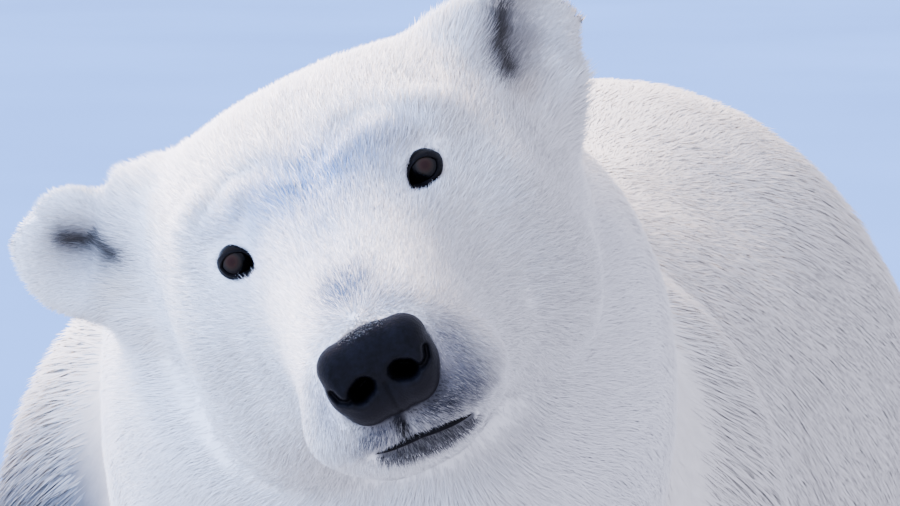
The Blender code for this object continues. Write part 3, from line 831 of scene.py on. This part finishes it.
def refine(obj, centre, radius):
    """Divides the faces within a ball of the head's frame."""
    bm = bmesh.new()
    bm.from_mesh(obj.data)
    at = HEAD @ Vector(centre)
    inside = {v for v in bm.verts if (v.co - at).length < radius}
    edges = [e for e in bm.edges if e.verts[0] in inside and e.verts[1] in inside]
    bmesh.ops.subdivide_edges(bm, edges=edges, cuts=1, use_grid_fill=True, smooth=0.0)
    bm.to_mesh(obj.data)
    bm.free()


# Folds and ridges of the face, as lines in the head's frame
ABOVE_BROW = (
    (0.011, -0.001, 0.033),
    (0.0265, 0.015, 0.0435),
    (0.0485, 0.022, 0.045),
    (0.0746, 0.0105, 0.027),
)
BROW = ((0.018, -0.008, 0.024), (0.040, 0.004, 0.030), (0.062, 0.002, 0.020))
BRIDGE = ((0.0, -0.050, -0.003), (0.0, -0.085, -0.018), (0.0, -0.120, -0.038))
FOREHEAD = ((0.0, -0.020, 0.012), (0.0, 0.020, 0.046), (0.0, 0.060, 0.064))
LIP_CLEFT = ((0.0, -0.150, -0.104), (0.0, -0.149, -0.124))
FACE_LINES = (  # path, width, height, on both sides alike
    (ABOVE_BROW, 0.008, -0.0025, True),
    (BRIDGE, 0.008, -0.0018, False),
    (FOREHEAD, 0.012, -0.0020, False),
    (LIP_CLEFT, 0.0028, -0.0022, False),
    (BROW, 0.008, 0.0022, True),
)
FACE_WITHIN = 0.30
SOCKET_FADE = (1.0, 0.78)
SOCKET_DEEP = 0.003
BED_HALF = (0.031, 0.025)  # the bed that the nose pad lies in, across and up
BED_FADE = (1.05, 0.75)
BED_FRONT, BED_DEEP = -0.10, -0.118


def shape_face(mesh):
    """Presses in the folds, the eye sockets and the bed of the nose pad."""
    points, normal = positions(mesh), normals(mesh)
    own = into(points, HEAD)
    face = np.linalg.norm(own, axis=1) < FACE_WITHIN
    some, push = own[face], np.zeros(face.sum())
    for path, width, height, both in FACE_LINES:
        for side in (LEFT, RIGHT) if both else (LEFT,):
            away = path_distance(some, [(side * x, y, z) for x, y, z in path])
            push += height * hump(away, width)
    points[face] += normal[face] * push[:, None]
    for side in (LEFT, RIGHT):
        place = eye_frame(side)
        hole = fade(lid_reach(points, side), *SOCKET_FADE)
        shift = np.clip(SOCKET_DEEP - into(points, place)[:, 1], 0, None) * hole
        points += shift[:, None] * turned((0, 1, 0), place)
    own = into(points, HEAD)
    across, height = own[:, 0] / BED_HALF[0], (own[:, 2] - PAD_MIDDLE) / BED_HALF[1]
    hole = fade(np.sqrt(across**2 + height**2), *BED_FADE) * (own[:, 1] < BED_FRONT)
    points += (np.clip(BED_DEEP - own[:, 1], 0, None) * hole)[:, None] * turned((0, 1, 0))
    set_positions(mesh, points)


def edge_lengths(mesh):
    """The mean length of the edges at each vertex."""
    points = positions(mesh)
    first, second = read(mesh.edges, "vertices", 2, np.int32).T
    long = np.linalg.norm(points[first] - points[second], axis=1)
    count = len(points)
    total = np.bincount(first, long, count) + np.bincount(second, long, count)
    return total / (np.bincount(first, minlength=count) + np.bincount(second, minlength=count))


def snap_head(mesh, target):
    """Puts the head's finer vertices back on the solids' surface."""
    points = positions(mesh)
    own = into(points, HEAD)
    close = np.linalg.norm(own - np.array(FINE_AT[0]), axis=1)
    share = fade(close, *SNAP_WITHIN)
    for k in np.flatnonzero(share > 0):
        found = target.find_nearest(Vector(points[k]))[0]
        points[k] += (np.array(found) - points[k]) * share[k]
    set_positions(mesh, points)


def add_ear(bm, name, side):
    """A hollowed ear, pressed down where it would stand over the top of the solids."""
    own = bmesh.new()
    bmesh.ops.create_icosphere(own, subdivisions=5, radius=1)
    for vert in own.verts:
        vert.co *= Vector(EAR_RADII[name])
    mesh = bpy.data.meshes.new("ear")
    own.to_mesh(mesh)
    own.free()
    points = positions(mesh)
    for (x, y, z), radii, depth in EAR_HOLLOWS:
        weight = near(points, (side * x, y, z), radii) * (points[:, 1] < 0)
        points[:, 1] += depth * weight
    set_positions(mesh, points)
    at = Matrix.Translation(ear_place(name, side, (0, 0, 0)))
    mesh.transform(HEAD @ (at @ Matrix.Rotation(side * EAR_OPEN, 4, "Z")))
    points = positions(mesh)
    above = np.maximum(points[:, 2] - cad_box[1].z + EAR_TOP_ROOM, 0)
    points[:, 2] -= above * (1 - EAR_TOP_PRESS)
    set_positions(mesh, points)
    bm.from_mesh(mesh)
    bpy.data.meshes.remove(mesh)


# Soft folds of the flank and shoulder: out from the middle, above the floor, and behind the
# fore feet, where they begin and where they end
FOLD_OUT, FOLD_HEIGHT = (0.10, 0.20), (0.55, 0.75)
FOLD_BEGIN, FOLD_END = (-0.18, 0.0), (0.95, 0.55)
FOLD_LENGTH = 0.30
FOLD_STRETCH = (0.6, 1.0, 0.35)
FOLD_DEPTH = 0.010
FOLD_SEED = 9


def folds(points):
    """How deep the soft folds lie."""
    behind = points[:, 1] - FORE_FEET
    where = fade(np.abs(points[:, 0]), *FOLD_OUT) * fade(points[:, 2], *FOLD_HEIGHT)
    where = where * fade(behind, *FOLD_BEGIN) * fade(behind, *FOLD_END)
    wave = soft_pattern(points * np.array(FOLD_STRETCH), FOLD_LENGTH, FOLD_SEED)
    return FOLD_DEPTH * where * np.clip(0.35 + 0.4 * wave, 0, 1)


def whole_skin():
    """One smooth shell over all the flesh, finer on the face."""
    solid = [name for name in FLESH if not name.endswith("ear")]
    bm = merged_copy([*solid, "nose", "left_eye", "right_eye"], OVERLAP)
    for name, side in SIDES:
        add_ear(bm, name, side)
    target = BVHTree.FromBMesh(bm)
    skin = new_object("skin", bm)
    remesh(skin, VOXEL)
    bm = bmesh.new()
    bm.from_mesh(skin.data)
    keep_largest(bm)
    bm.to_mesh(skin.data)
    bm.free()
    points = positions(skin.data)
    masks = region_masks(points)
    keep = [masks["nape"], masks["paws"], masks["ears"], masks["tail"] * TAIL_HELD]
    loose = 1 - HELD * np.maximum.reduce(keep)
    set_positions(skin.data, smoothed(skin.data, points, SMOOTH_BODY, loose))
    refine(skin, *FINE_AT)
    refine(skin, *FINER_AT)
    everywhere = np.ones(len(skin.data.vertices))
    points = smoothed(skin.data, positions(skin.data), SMOOTH_LAST, everywhere)
    set_positions(skin.data, points)
    snap_head(skin.data, target)
    return skin


def make_skin():
    """Sinks the shell by the coat's depth, and shapes the face."""
    skin = whole_skin()
    mesh = skin.data
    even = np.clip((FINEST_EDGE / edge_lengths(mesh)) ** 2, 0, 1)
    set_positions(mesh, smoothed(mesh, positions(mesh), SMOOTH_FACE, even))
    points, normal = positions(mesh), normals(mesh)
    sole = fade(points[:, 2], *SOLE_BAND) * (normal[:, 2] < SOLE_SLOPE)
    depth = region_values(points)[:, 0] + folds(points)
    depth *= 1 - (1 - SOLE_DEPTH) * sole
    down = unit(smoothed(mesh, normal, SMOOTH_NORMALS, np.ones(len(points))))
    down += (normal - down) * region_masks(points)["nape"][:, None]
    points -= unit(down) * depth[:, None]
    set_positions(mesh, points)
    set_positions(mesh, smoothed(mesh, points, SMOOTH_LAST, even))
    shape_face(mesh)
    set_positions(mesh, inside_box(positions(mesh), SKIN_ROOM))
    return skin


FLOW_WIDTH = 0.06
UV_ANGLE = math.radians(70)
UV_MARGIN = 0.001


def flow_coordinates(points):
    """Across and along the hair of the head, for streaks that follow its lie."""
    own = into(points, HEAD) - np.array(WHORL)
    across = np.arctan2(own[:, 0], own[:, 2]) * FLOW_WIDTH
    return np.column_stack([across, np.linalg.norm(own, axis=1), np.zeros(len(own))])


def finish_skin(skin):
    mesh = skin.data
    points = positions(mesh)
    add_layer(mesh, "flow", flow_coordinates(points))
    add_layer(mesh, "coat_colour", coat_colour(points))
    bpy.context.view_layer.objects.active = skin
    for obj in bpy.context.selected_objects:
        obj.select_set(False)
    skin.select_set(True)
    mesh.uv_layers.new(name="OFBake")
    bpy.ops.object.mode_set(mode="EDIT")
    bpy.ops.mesh.select_all(action="SELECT")
    bpy.ops.uv.smart_project(angle_limit=UV_ANGLE, island_margin=UV_MARGIN)
    bpy.ops.object.mode_set(mode="OBJECT")
    skin.select_set(False)
    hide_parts(*FLESH)
    finish_piece(skin, skin_material())


# Coat

MOST_TRIANGLES = 198000
PATCH = 0.003  # each tuft's place on the unwrapped skin

LIDS_BARE = 0.96  # across the lids, 1 at their edge
MOUTH_BARE = 0.0012
SOLE_BARE = 0.006
PAD_TRIM_FRONT = -0.12


def bare(points):
    """Where no hair grows: the eyes, the nose and the soles."""
    own = into(points, HEAD)
    lids = np.minimum(lid_reach(points, LEFT), lid_reach(points, RIGHT))
    face = (lids < LIDS_BARE) | (pad_reach(own) < 1) | (np.abs(lip_height(own)) < MOUTH_BARE)
    return face | (points[:, 2] < SOLE_BARE)


def trimmed(points):
    """Shorter hair round the eyes, the nose and the mouth, and longer in the ears."""
    own = into(points, HEAD)
    out = np.ones(len(points))
    for name, side in SIDES:
        out *= 0.20 + 0.80 * fade(lid_reach(points, side), 1.0, 1.9)
        away = ear_tuft_distance(own, name, side)
        inside = in_ears(own, side)
        out *= 1 + 0.9 * inside * hump(away, 0.008)
        out *= 1 - 0.45 * (1 - inside) * hump(away, 0.014)
    pad = np.where(own[:, 1] > PAD_TRIM_FRONT, FAR_OFF, pad_reach(own))
    out *= 0.60 + 0.40 * fade(pad, 1.0, 1.4)
    above = lip_height(own)
    out *= 1 - 0.6 * fade(above, 0.007, 0.001) * (above > 0)
    return out


def sow(skin):
    """Roots over the skin, with all that a tuft needs to know there."""
    rng = np.random.default_rng(SEED)
    mesh = skin.data
    mesh.calc_loop_triangles()
    corners = read(mesh.loop_triangles, "vertices", 3, np.int32)
    loops = read(mesh.loop_triangles, "loops", 3, np.int32)
    uv = read(mesh.uv_layers["OFBake"].data, "uv", 2)
    points, normal = positions(mesh), normals(mesh)
    values = region_values(points)
    a, b, c = (points[corners[:, k]] for k in range(3))
    area = np.linalg.norm(np.cross(b - a, c - a), axis=1) / 2
    wanted = area * 1e4 * values[corners, 3].mean(axis=1)
    total = int(wanted.sum())
    chance = np.cumsum(wanted) / wanted.sum()
    place = (np.arange(total) + rng.random(total)) / total
    chosen = np.searchsorted(chance, place).clip(0, len(chance) - 1)
    u, v = rng.random(total), rng.random(total)
    flip = u + v > 1
    u[flip], v[flip] = 1 - u[flip], 1 - v[flip]
    share = np.stack([1 - u - v, u, v], axis=1)[:, :, None]
    roots = {
        "at": (points[corners[chosen]] * share).sum(axis=1),
        "normal": unit((normal[corners[chosen]] * share).sum(axis=1)),
        "uv": (uv[loops[chosen]] * share).sum(axis=1),
        "values": (values[corners[chosen]] * share).sum(axis=1),
    }
    roots["trim"] = trimmed(roots["at"])
    keep = ~bare(roots["at"])
    return {key: value[keep] for key, value in roots.items()}


# A tuft is a spike on a flat root: three points across its root, a low ridge between them,
# and its tip
ACROSS = (0.0, 0.5, 1.0, 0.5)
ALONG = (0.0, 0.0, 0.0, 1.0)
FACES = ((0, 3, 1), (1, 3, 2), (2, 3, 0))
RIDGE = 0.20
SINK = 0.0012
OWN_NORMAL = 0.30  # how far a ruffled tuft is shaded by its own shape, not the skin's
LENGTHS, WIDTHS, RISES = (0.7, 1.25), (0.7, 1.3), (0.50, 1.0)
FLECKS = (0.35, 1.6)
SWINGS = ((0.16, 0.16, 3), (0.13, 0.035, 4))  # how far, swells this size, seed
OWN_SWING, OWN_BEND, OWN_ROLL = 0.12, 0.09, 0.35

# Above the nose pad the hair stands out and hangs over its edge
FRINGE = ((-0.008, -0.128, -0.046), (0.016, 0.014, 0.009))
FRINGE_RISE = 0.0028


def column(values):
    return values[:, None]


def tuft_points(roots, rng):
    """Three root points and a tip for each tuft, along the skin and rising to the tip."""
    at, normal, trim = roots["at"], roots["normal"], roots["trim"]
    count = len(at)
    depth, length, width, _, ruffle = roots["values"].T
    lie = lie_of_hair(at, normal)
    swing = sum(far * soft_pattern(at, size, seed) for far, size, seed in SWINGS)
    swing = column(swing + rng.normal(0, OWN_SWING, count) * (0.4 + 0.6 * ruffle))
    lie = lie * np.cos(swing) + np.cross(normal, lie) * np.sin(swing)
    across = np.cross(normal, lie)
    length = length * rng.uniform(*LENGTHS, count) * trim
    width = column(width * rng.uniform(*WIDTHS, count))
    rise = depth * rng.uniform(*RISES, count) * (0.88 + 0.12 * soft_pattern(at, 0.03, 5))
    rise = np.clip(rise, 0.1 * depth, 1.05 * depth) * trim
    rise += FRINGE_RISE * near(into(at, HEAD), *FRINGE)
    bend = column(rng.normal(0, OWN_BEND, count) * length)
    roll = column(rng.normal(0, OWN_ROLL, count) * ruffle)
    flat = across * np.cos(roll) + normal * np.sin(roll)
    up = normal * np.cos(roll) - across * np.sin(roll)
    root = at - normal * SINK
    reach = column(np.sqrt(np.maximum(length**2 - rise**2, 0)))
    tip = at + lie * reach + normal * column(rise) + across * bend
    half = flat * width / 2
    return np.stack([root - half, root + up * width * RIDGE, root + half, tip], axis=1)


def tuft_mesh(name, roots, rng):
    """Joined tufts, each with its own shade and its own place on the unwrapped skin."""
    count, corners = len(roots["at"]), len(ALONG)
    ruffle = roots["values"][:, 4]
    points = inside_box(tuft_points(roots, rng).reshape(-1, 3))
    starts = np.arange(count)[:, None, None] * corners
    faces = (starts + np.array(FACES)).reshape(-1, 3)
    mesh = bpy.data.meshes.new(name)
    mesh.vertices.add(count * corners)
    mesh.vertices.foreach_set("co", points.astype(np.float32).ravel())
    mesh.loops.add(len(faces) * 3)
    mesh.loops.foreach_set("vertex_index", faces.astype(np.int32).ravel())
    mesh.polygons.add(len(faces))
    mesh.polygons.foreach_set("loop_start", np.arange(0, len(faces) * 3, 3, dtype=np.int32))
    mesh.update(calc_edges=True)
    mesh.shade_smooth()
    soft = np.repeat(roots["normal"], corners, axis=0)
    share = column(np.repeat(OWN_NORMAL * ruffle, corners))
    soft = unit(soft + (normals(mesh) - soft) * share)
    mesh.normals_split_custom_set_from_vertices(soft.tolist())
    # 'along' carries the painted shade towards each tuft's root
    along = 1 - (1 - np.tile(ALONG, count)) * np.repeat(ruffle, corners).clip(0, 1)
    add_layer(mesh, "along", along)
    own = 0.5 + (rng.random(count) - 0.5) * ruffle
    add_layer(mesh, "own", np.repeat(own, corners))
    colours = coat_colour(roots["at"], rng.uniform(*FLECKS, count))
    add_layer(mesh, "coat_colour", np.repeat(colours, corners, axis=0))
    patch = PATCH * (np.column_stack([ACROSS, ALONG]) - 0.5)
    uv = (roots["uv"][:, None, :] + patch).reshape(-1, 2)[faces.ravel()]
    layer = mesh.uv_layers.new(name="OFBake")
    layer.data.foreach_set("uv", uv.astype(np.float32).ravel())
    obj = bpy.data.objects.new(name, mesh)
    bpy.context.scene.collection.objects.link(obj)
    return obj


PIECES = ("back", "shoulders", "legs", "paws", "neck", "cheeks", "face", "muzzle", "ears")
PIECE_BLUR = 0.010  # how far the pieces of the head run into one another
LEG_TOP, PAW_TOP = 0.56, 0.16
NECK_BACK, FACE_BACK, MUZZLE_BACK = 0.36, 0.06, -0.05


def piece_of_each(at):
    """The name of the piece of coat that each root belongs to; later lines win."""
    masks = region_masks(at)
    back = into(at, HEAD)[:, 1] + np.random.default_rng(SEED).normal(0, PIECE_BLUR, len(at))
    label = np.full(len(at), "back", dtype=object)
    label[masks["shoulders"] > 0.5] = "shoulders"
    label[at[:, 2] < LEG_TOP] = "legs"
    label[at[:, 2] < PAW_TOP] = "paws"
    label[back < NECK_BACK] = "neck"
    label[masks["nape"] > 0.5] = "cheeks"
    label[back < FACE_BACK] = "face"
    label[back < MUZZLE_BACK] = "muzzle"
    label[masks["ears"] > 0.5] = "ears"
    return label


def make_coat(skin):
    roots = sow(skin)
    label = piece_of_each(roots["at"])
    rng = np.random.default_rng(SEED + 1)
    material = coat_material()
    for name in PIECES:
        chosen = np.flatnonzero(label == name)
        parts = math.ceil(len(chosen) * len(FACES) / MOST_TRIANGLES)
        order = chosen[np.argsort(roots["at"][chosen, 0], kind="stable")]
        for k, group in enumerate(np.array_split(order, parts)):
            piece = f"coat_{name}_{k + 1}" if parts > 1 else f"coat_{name}"
            own_roots = {key: value[group] for key, value in roots.items()}
            finish_piece(tuft_mesh(piece, own_roots, rng), material)


# Eyes


def make_eyes():
    made = Material("eye", Roughness=0.05, Specular_IOR_Level=0.12)
    polar = made.attribute("polar")
    grain = made.noise(made.place(), 900.0)
    stops = (
        (0.00, srgb(28, 12, 11)),
        (0.14, srgb(31, 15, 13)),
        (0.26, srgb(37, 23, 18)),
        (0.40, srgb(29, 24, 20)),
        (0.47, srgb(16, 15, 14)),
        (0.53, srgb(3, 3, 4)),
        (1.00, srgb(4, 3, 3)),
    )
    made.to("Base Color", made.ramp(polar + (grain - 0.5) * 0.05, stops))
    for name, side in SIDES:
        gaze = Vector((side * GAZE[0], GAZE[1], GAZE[2])).to_track_quat("Z", "Y")
        bm = bmesh.new()
        bmesh.ops.create_uvsphere(bm, u_segments=48, v_segments=40, radius=EYE_RADIUS)
        heights = np.array([vert.co.z for vert in bm.verts])
        angles = np.arccos(np.clip(heights / EYE_RADIUS, -1, 1))
        for vert, bulge in zip(bm.verts, hump(angles, CORNEA_WIDTH)):
            vert.co *= 1 + CORNEA_RISE * bulge
        bm.transform(eye_frame(side) @ gaze.to_matrix().to_4x4())
        obj = new_object(f"{name}_eyeball", bm)
        add_layer(obj.data, "polar", angles)
        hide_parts(f"{name}_eye")
        finish_piece(obj, made.made)


# Eyelid loops from under the slit to under the fur: how far from the slit towards the lids'
# edge, how far from the eyeball towards the skin, and how far in front
LID_LOOPS = (
    (-0.22, 0.0, 0.0010),
    (-0.06, 0.0, -0.0003),
    (0.00, 0.0, -0.0012),
    (0.14, 0.08, -0.0018),
    (0.34, 0.30, -0.0015),
    (0.60, 0.62, -0.0008),
    (0.85, 0.90, 0.0000),
    (1.08, 1.0, 0.0016),
    (1.30, 1.0, 0.0045),
)
LID_POINTS = 56
LID_THICK = 0.0012
LID_RAY_START = -0.06
LID_BALL = 0.93  # how far out over the eyeball the lids follow it, in its radii
LID_OUTSIDE = 1.15  # where the skin beside the lids is found, as a share of their width


def lid_outline(sizes, angle):
    """A point of the almond outline of these sizes, in the eye's own plane."""
    x, z = almond(sizes, angle)
    turn_c, turn_s = math.cos(LIDS_SLANT), math.sin(LIDS_SLANT)
    x, z = x * turn_c + z * turn_s, z * turn_c - x * turn_s
    return Vector((x + LIDS_AT[0], z + LIDS_AT[1]))


def lid_rings(side, tree):
    """The eyelid's loops, in the eyeball's own frame."""
    place = eye_frame(side)
    inverse = place.inverted()
    back = place.to_3x3() @ Vector((0, 1, 0))
    rings = [[] for _ in LID_LOOPS]
    for k in range(LID_POINTS):
        angle = math.tau * k / LID_POINTS
        slit, edge = lid_outline(SLIT, angle), lid_outline(LIDS, angle)
        out = slit + (edge - slit) * LID_OUTSIDE
        start = place @ Vector((side * out.x, LID_RAY_START, out.y))
        skin_y = (inverse @ tree.ray_cast(start, back)[0]).y
        for ring, (share, rise, ahead) in zip(rings, LID_LOOPS):
            at = slit + (edge - slit) * share
            far = min(at.length, EYE_RADIUS * LID_BALL)
            ball_y = -math.sqrt(EYE_RADIUS**2 - far**2)
            y = ball_y + (skin_y - ball_y) * rise + ahead
            if far == at.length and share > 0:
                y = min(y, ball_y - LID_THICK)
            ring.append(Vector((side * at.x, y, at.y)))
    return rings


def make_eyelids(skin):
    made = Material("bare_skin", Roughness=0.5, Specular_IOR_Level=0.06)
    wrinkles = made.noise(made.place(), 700.0, detail=3.0)
    tone = made.clamp(wrinkles, *NOISE_SPAN)
    made.to("Base Color", made.mix(tone, srgb(4, 4, 5), srgb(12, 11, 13)))
    made.to("Normal", made.bump(wrinkles, 0.4, 0.0004))
    tree = BVHTree.FromObject(skin, bpy.context.evaluated_depsgraph_get())
    for name, side in SIDES:
        bm = bmesh.new()
        lofted(bm, lid_rings(side, tree))
        bm.transform(eye_frame(side))
        bmesh.ops.recalc_face_normals(bm, faces=bm.faces[:])
        finish_piece(new_object(f"{name}_eyelids", bm), made.made)
    return made.made


# Nose

# The balls that the nose pad grows together from, on both sides alike; then, as lines across
# and up, the nostril, the slit that curls out of it and the groove down the middle
NOSE_BALLS = (
    ((0.000, -0.146, -0.0695), (0.033, 0.0195, 0.0205)),
    ((0.0200, -0.146, -0.0665), (0.0160, 0.0175, 0.0150)),
    ((0.021, -0.147, -0.080), (0.0155, 0.017, 0.020)),
    ((0.000, -0.146, -0.090), (0.019, 0.016, 0.018)),
    ((0.0150, -0.147, -0.0905), (0.0170, 0.0160, 0.0170)),
)
NOSE_VOXEL = 0.0011
SMOOTH_NOSE = 24
NOSTRIL = ((0.0118, -0.0810), (0.0168, -0.0830))
NOSTRIL_RADIUS, NOSTRIL_DEEP = 0.0062, 0.022
SLIT_PATH = ((0.0185, -0.0835), (0.0250, -0.0850), (0.0295, -0.0820), (0.0315, -0.0760))
SLIT_RADIUS, SLIT_DEEP = 0.0018, 0.005
GROOVE = ((0.0, -0.084), (0.0, -0.110))
GROOVE_FADE, GROOVE_DEEP = (0.0022, 0.0002), 0.0016
WING = ((0.0265, -0.155, -0.072), (0.010, 0.020, 0.010))
WING_RISE = 0.0022
RIM_WIDTH, RIM_RISE = 0.0022, 0.0010
PAD_FACE = (-0.135, -0.150)
PAD_UNDERSIDE = (-0.085, -0.102)


def nose_shape():
    """The pad in the head's frame, before its nostrils."""
    bm = bmesh.new()
    for (x, y, z), radii in NOSE_BALLS:
        for side in (LEFT, RIGHT) if x else (LEFT,):
            shape = Matrix.Translation((side * x, y, z)) @ Matrix.Diagonal((*radii, 1))
            bmesh.ops.create_uvsphere(bm, u_segments=48, v_segments=32, radius=1, matrix=shape)
    obj = new_object("nose_leather", bm)
    remesh(obj, NOSE_VOXEL)
    points = positions(obj.data)
    return obj, smoothed(obj.data, points, SMOOTH_NOSE, np.ones(len(points)))


def leather_material():
    made = Material("nose_leather", Roughness=0.45, Specular_IOR_Level=0.07)
    pebbles = made.node("ShaderNodeTexVoronoi", inputs={"Vector": made.place(), "Scale": 620.0})
    fine = made.noise(made.place(), 300.0, detail=4.0)
    colour = made.mix(made.clamp(fine, *NOISE_SPAN), srgb(6, 7, 9), srgb(13, 13, 18))
    colour = made.mix(made.attribute("low") * 0.6, colour, srgb(24, 22, 24))
    # Painted shade in the nostrils, the slit and the groove
    colour = made.mix(made.attribute("hollow_shade"), colour, srgb(2, 2, 3))
    made.to("Base Color", colour)
    made.to("Roughness", made.clamp(fine, *NOISE_SPAN, 0.34, 0.52))
    made.to("Normal", made.bump(pebbles, 0.35, 0.0004))
    return made.made


def make_nose():
    obj, points = nose_shape()
    mesh = obj.data
    across, height = np.abs(points[:, 0]), points[:, 2]
    ahead = fade(points[:, 1], *PAD_FACE)
    (x, y, z), radii = WING
    wing = near(points, (x, y, z), radii) + near(points, (-x, y, z), radii)
    nostril = flat_distance(across, height, NOSTRIL)
    hole = fade(nostril, NOSTRIL_RADIUS * 1.25, NOSTRIL_RADIUS * 0.10)
    slit = fade(flat_distance(across, height, SLIT_PATH), SLIT_RADIUS * 1.6, SLIT_RADIUS * 0.2)
    groove = fade(flat_distance(across, height, GROOVE), *GROOVE_FADE)
    rim = hump(nostril - NOSTRIL_RADIUS * 1.5, RIM_WIDTH)
    pressed = [NOSTRIL_DEEP * hole, SLIT_DEEP * slit, GROOVE_DEEP * groove]
    points[:, 1] += ahead * (np.maximum.reduce(pressed) - RIM_RISE * rim) - WING_RISE * wing
    # Painted shade in the nostrils, the slit and the groove, for the leather's colour
    hollow_shade = np.maximum.reduce([np.clip(4 * hole, 0, 1), 0.8 * slit, 0.5 * groove]) * ahead
    points = smoothed(mesh, points, 2, np.ones(len(points)))
    low = fade(points[:, 2], *PAD_UNDERSIDE)
    set_positions(mesh, inside_box(directions_out(points) + np.array(HEAD.translation)))
    add_layer(mesh, "hollow_shade", hollow_shade)
    add_layer(mesh, "low", low)
    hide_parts("nose")
    finish_piece(obj, leather_material())


# Lips

LIP_HALF = (0.0014, 0.0024)
LIP_STEPS, LIP_SIDES = 61, 12
LIP_THINNEST = 0.15
LIP_SINK, LIP_DROP = 0.0006, 0.0018
LIP_RAY_START = -0.25


def lip_path(skin):
    """Places and outward directions along the mouth line, and how near its ends they are."""
    tree = BVHTree.FromObject(skin, bpy.context.evaluated_depsgraph_get())
    into_head = HEAD.inverted()
    across, height = zip(*MOUTH)
    found = []
    for share in np.linspace(-1, 1, LIP_STEPS):
        x = (sum(MOUTH_ENDS) + share * (MOUTH_ENDS[1] - MOUTH_ENDS[0])) / 2
        start = Vector((x, LIP_RAY_START, float(np.interp(x, across, height))))
        hit, facing = tree.ray_cast(HEAD @ start, turned((0, 1, 0)))[:2]
        out = into_head.to_3x3() @ facing
        out.z = 0
        found.append((into_head @ hit, out.normalized(), abs(share)))
    return found


def make_lips(skin, material):
    """A thin dark roll under the mouth line, thinner towards its ends."""
    rings = []
    for at, out, share in lip_path(skin):
        size = max(LIP_THINNEST, 1 - share**3)
        middle = at - out * LIP_SINK - Vector((0, 0, LIP_DROP * size))
        thick, tall = (half * size for half in LIP_HALF)
        ring = []
        for k in range(LIP_SIDES):
            angle = math.tau * k / LIP_SIDES
            shift = out * (thick * math.cos(angle)) + Vector((0, 0, tall * math.sin(angle)))
            ring.append(HEAD @ (middle + shift))
        rings.append(ring)
    bm = bmesh.new()
    loops = lofted(bm, rings)
    for end in (loops[0], loops[-1]):
        bmesh.ops.contextual_create(bm, geom=end)
    bmesh.ops.recalc_face_normals(bm, faces=bm.faces[:])
    finish_piece(new_object("lower_lip", bm), material)


# Claws


def make_claws():
    made = Material("horn", Roughness=0.30, Coat_Weight=0.2)
    streaks = made.noise(made.stretched(made.place(), (500, 60, 500)), 1.0, detail=3.0)
    made.to("Base Color", made.mix(streaks, srgb(22, 20, 20), srgb(66, 60, 54)))
    made.to("Normal", made.bump(streaks, 0.3, 0.0003))
    for name in CLAWS:
        obj = new_object(f"{name}_horn", merged_copy([name], 0.0))
        modifier = obj.modifiers.new("round", "SUBSURF")
        modifier.levels = modifier.render_levels = 2
        apply_modifiers(obj)
        obj.data.materials.clear()
        obj.data.shade_smooth()
        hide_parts(name)
        finish_piece(obj, made.made)


# Stage

# Each sun: how far round, how high, how strong and how soft, and its colour
ROOM_LIGHT = (1.45, 1.52, 2.12)
KEY = (math.radians(-135), math.radians(38), 28.5, math.radians(40), (1.0, 0.77, 0.68))
FILL = (math.radians(-60), math.radians(30), 12.0, math.radians(60), (0.42, 0.64, 1.20))
FLOOR_SHADES = ((0.046, 0.125, 0.33), (0.068, 0.190, 0.50))
FLOOR_HALF = 400


def make_floor():
    bm = bmesh.new()
    bmesh.ops.create_grid(bm, x_segments=2, y_segments=2, size=FLOOR_HALF)
    floor = new_object("floor", bm, smooth=False)
    made = Material("floor", Roughness=0.9)
    tone = made.noise(made.place(), 0.35, detail=3.0)
    made.to("Base Color", made.mix(tone, *FLOOR_SHADES))
    floor.data.materials.append(made.made)
    floor.visible_diffuse = False
    floor.visible_glossy = False


def make_sun(name, side, height, strength, softness, colour):
    """A broad distant light from so far round and so high."""
    data = bpy.data.lights.new(name, "SUN")
    data.energy = strength
    data.angle = softness
    data.color = colour
    obj = bpy.data.objects.new(name, data)
    obj.rotation_euler = (math.pi / 2 - height, 0, side)
    obj.visible_glossy = False
    bpy.context.scene.collection.objects.link(obj)


def make_stage():
    make_floor()
    world = bpy.data.worlds.new("studio")
    world.use_nodes = True
    background = world.node_tree.nodes["Background"]
    background.inputs["Color"].default_value = (*ROOM_LIGHT, 1)
    bpy.context.scene.world = world
    make_sun("key", *KEY)
    make_sun("fill", *FILL)


def make_camera():
    right, ahead, up = look_axes()
    data = bpy.data.cameras.new("camera")
    data.sensor_width = SENSOR * 1000
    data.lens = SENSOR * 1000 * CAMERA_AWAY / VIEW_WIDTH
    data.clip_start = NEAREST_SEEN
    data.clip_end = FARTHEST_SEEN
    camera = bpy.data.objects.new("camera", data)
    at = EYES_AT + right * CAMERA_SHIFT[0] + up * CAMERA_SHIFT[1] - ahead * CAMERA_AWAY
    turn = Matrix((right, up, -ahead)).transposed()
    camera.matrix_world = Matrix.Translation(at) @ turn.to_4x4()
    bpy.context.scene.collection.objects.link(camera)
    bpy.context.scene.camera = camera


def main():
    make_stage()
    make_camera()
    skin = make_skin()
    finish_skin(skin)
    make_eyes()
    bare_skin = make_eyelids(skin)
    make_nose()
    make_lips(skin, bare_skin)
    make_claws()
    make_coat(skin)


main()
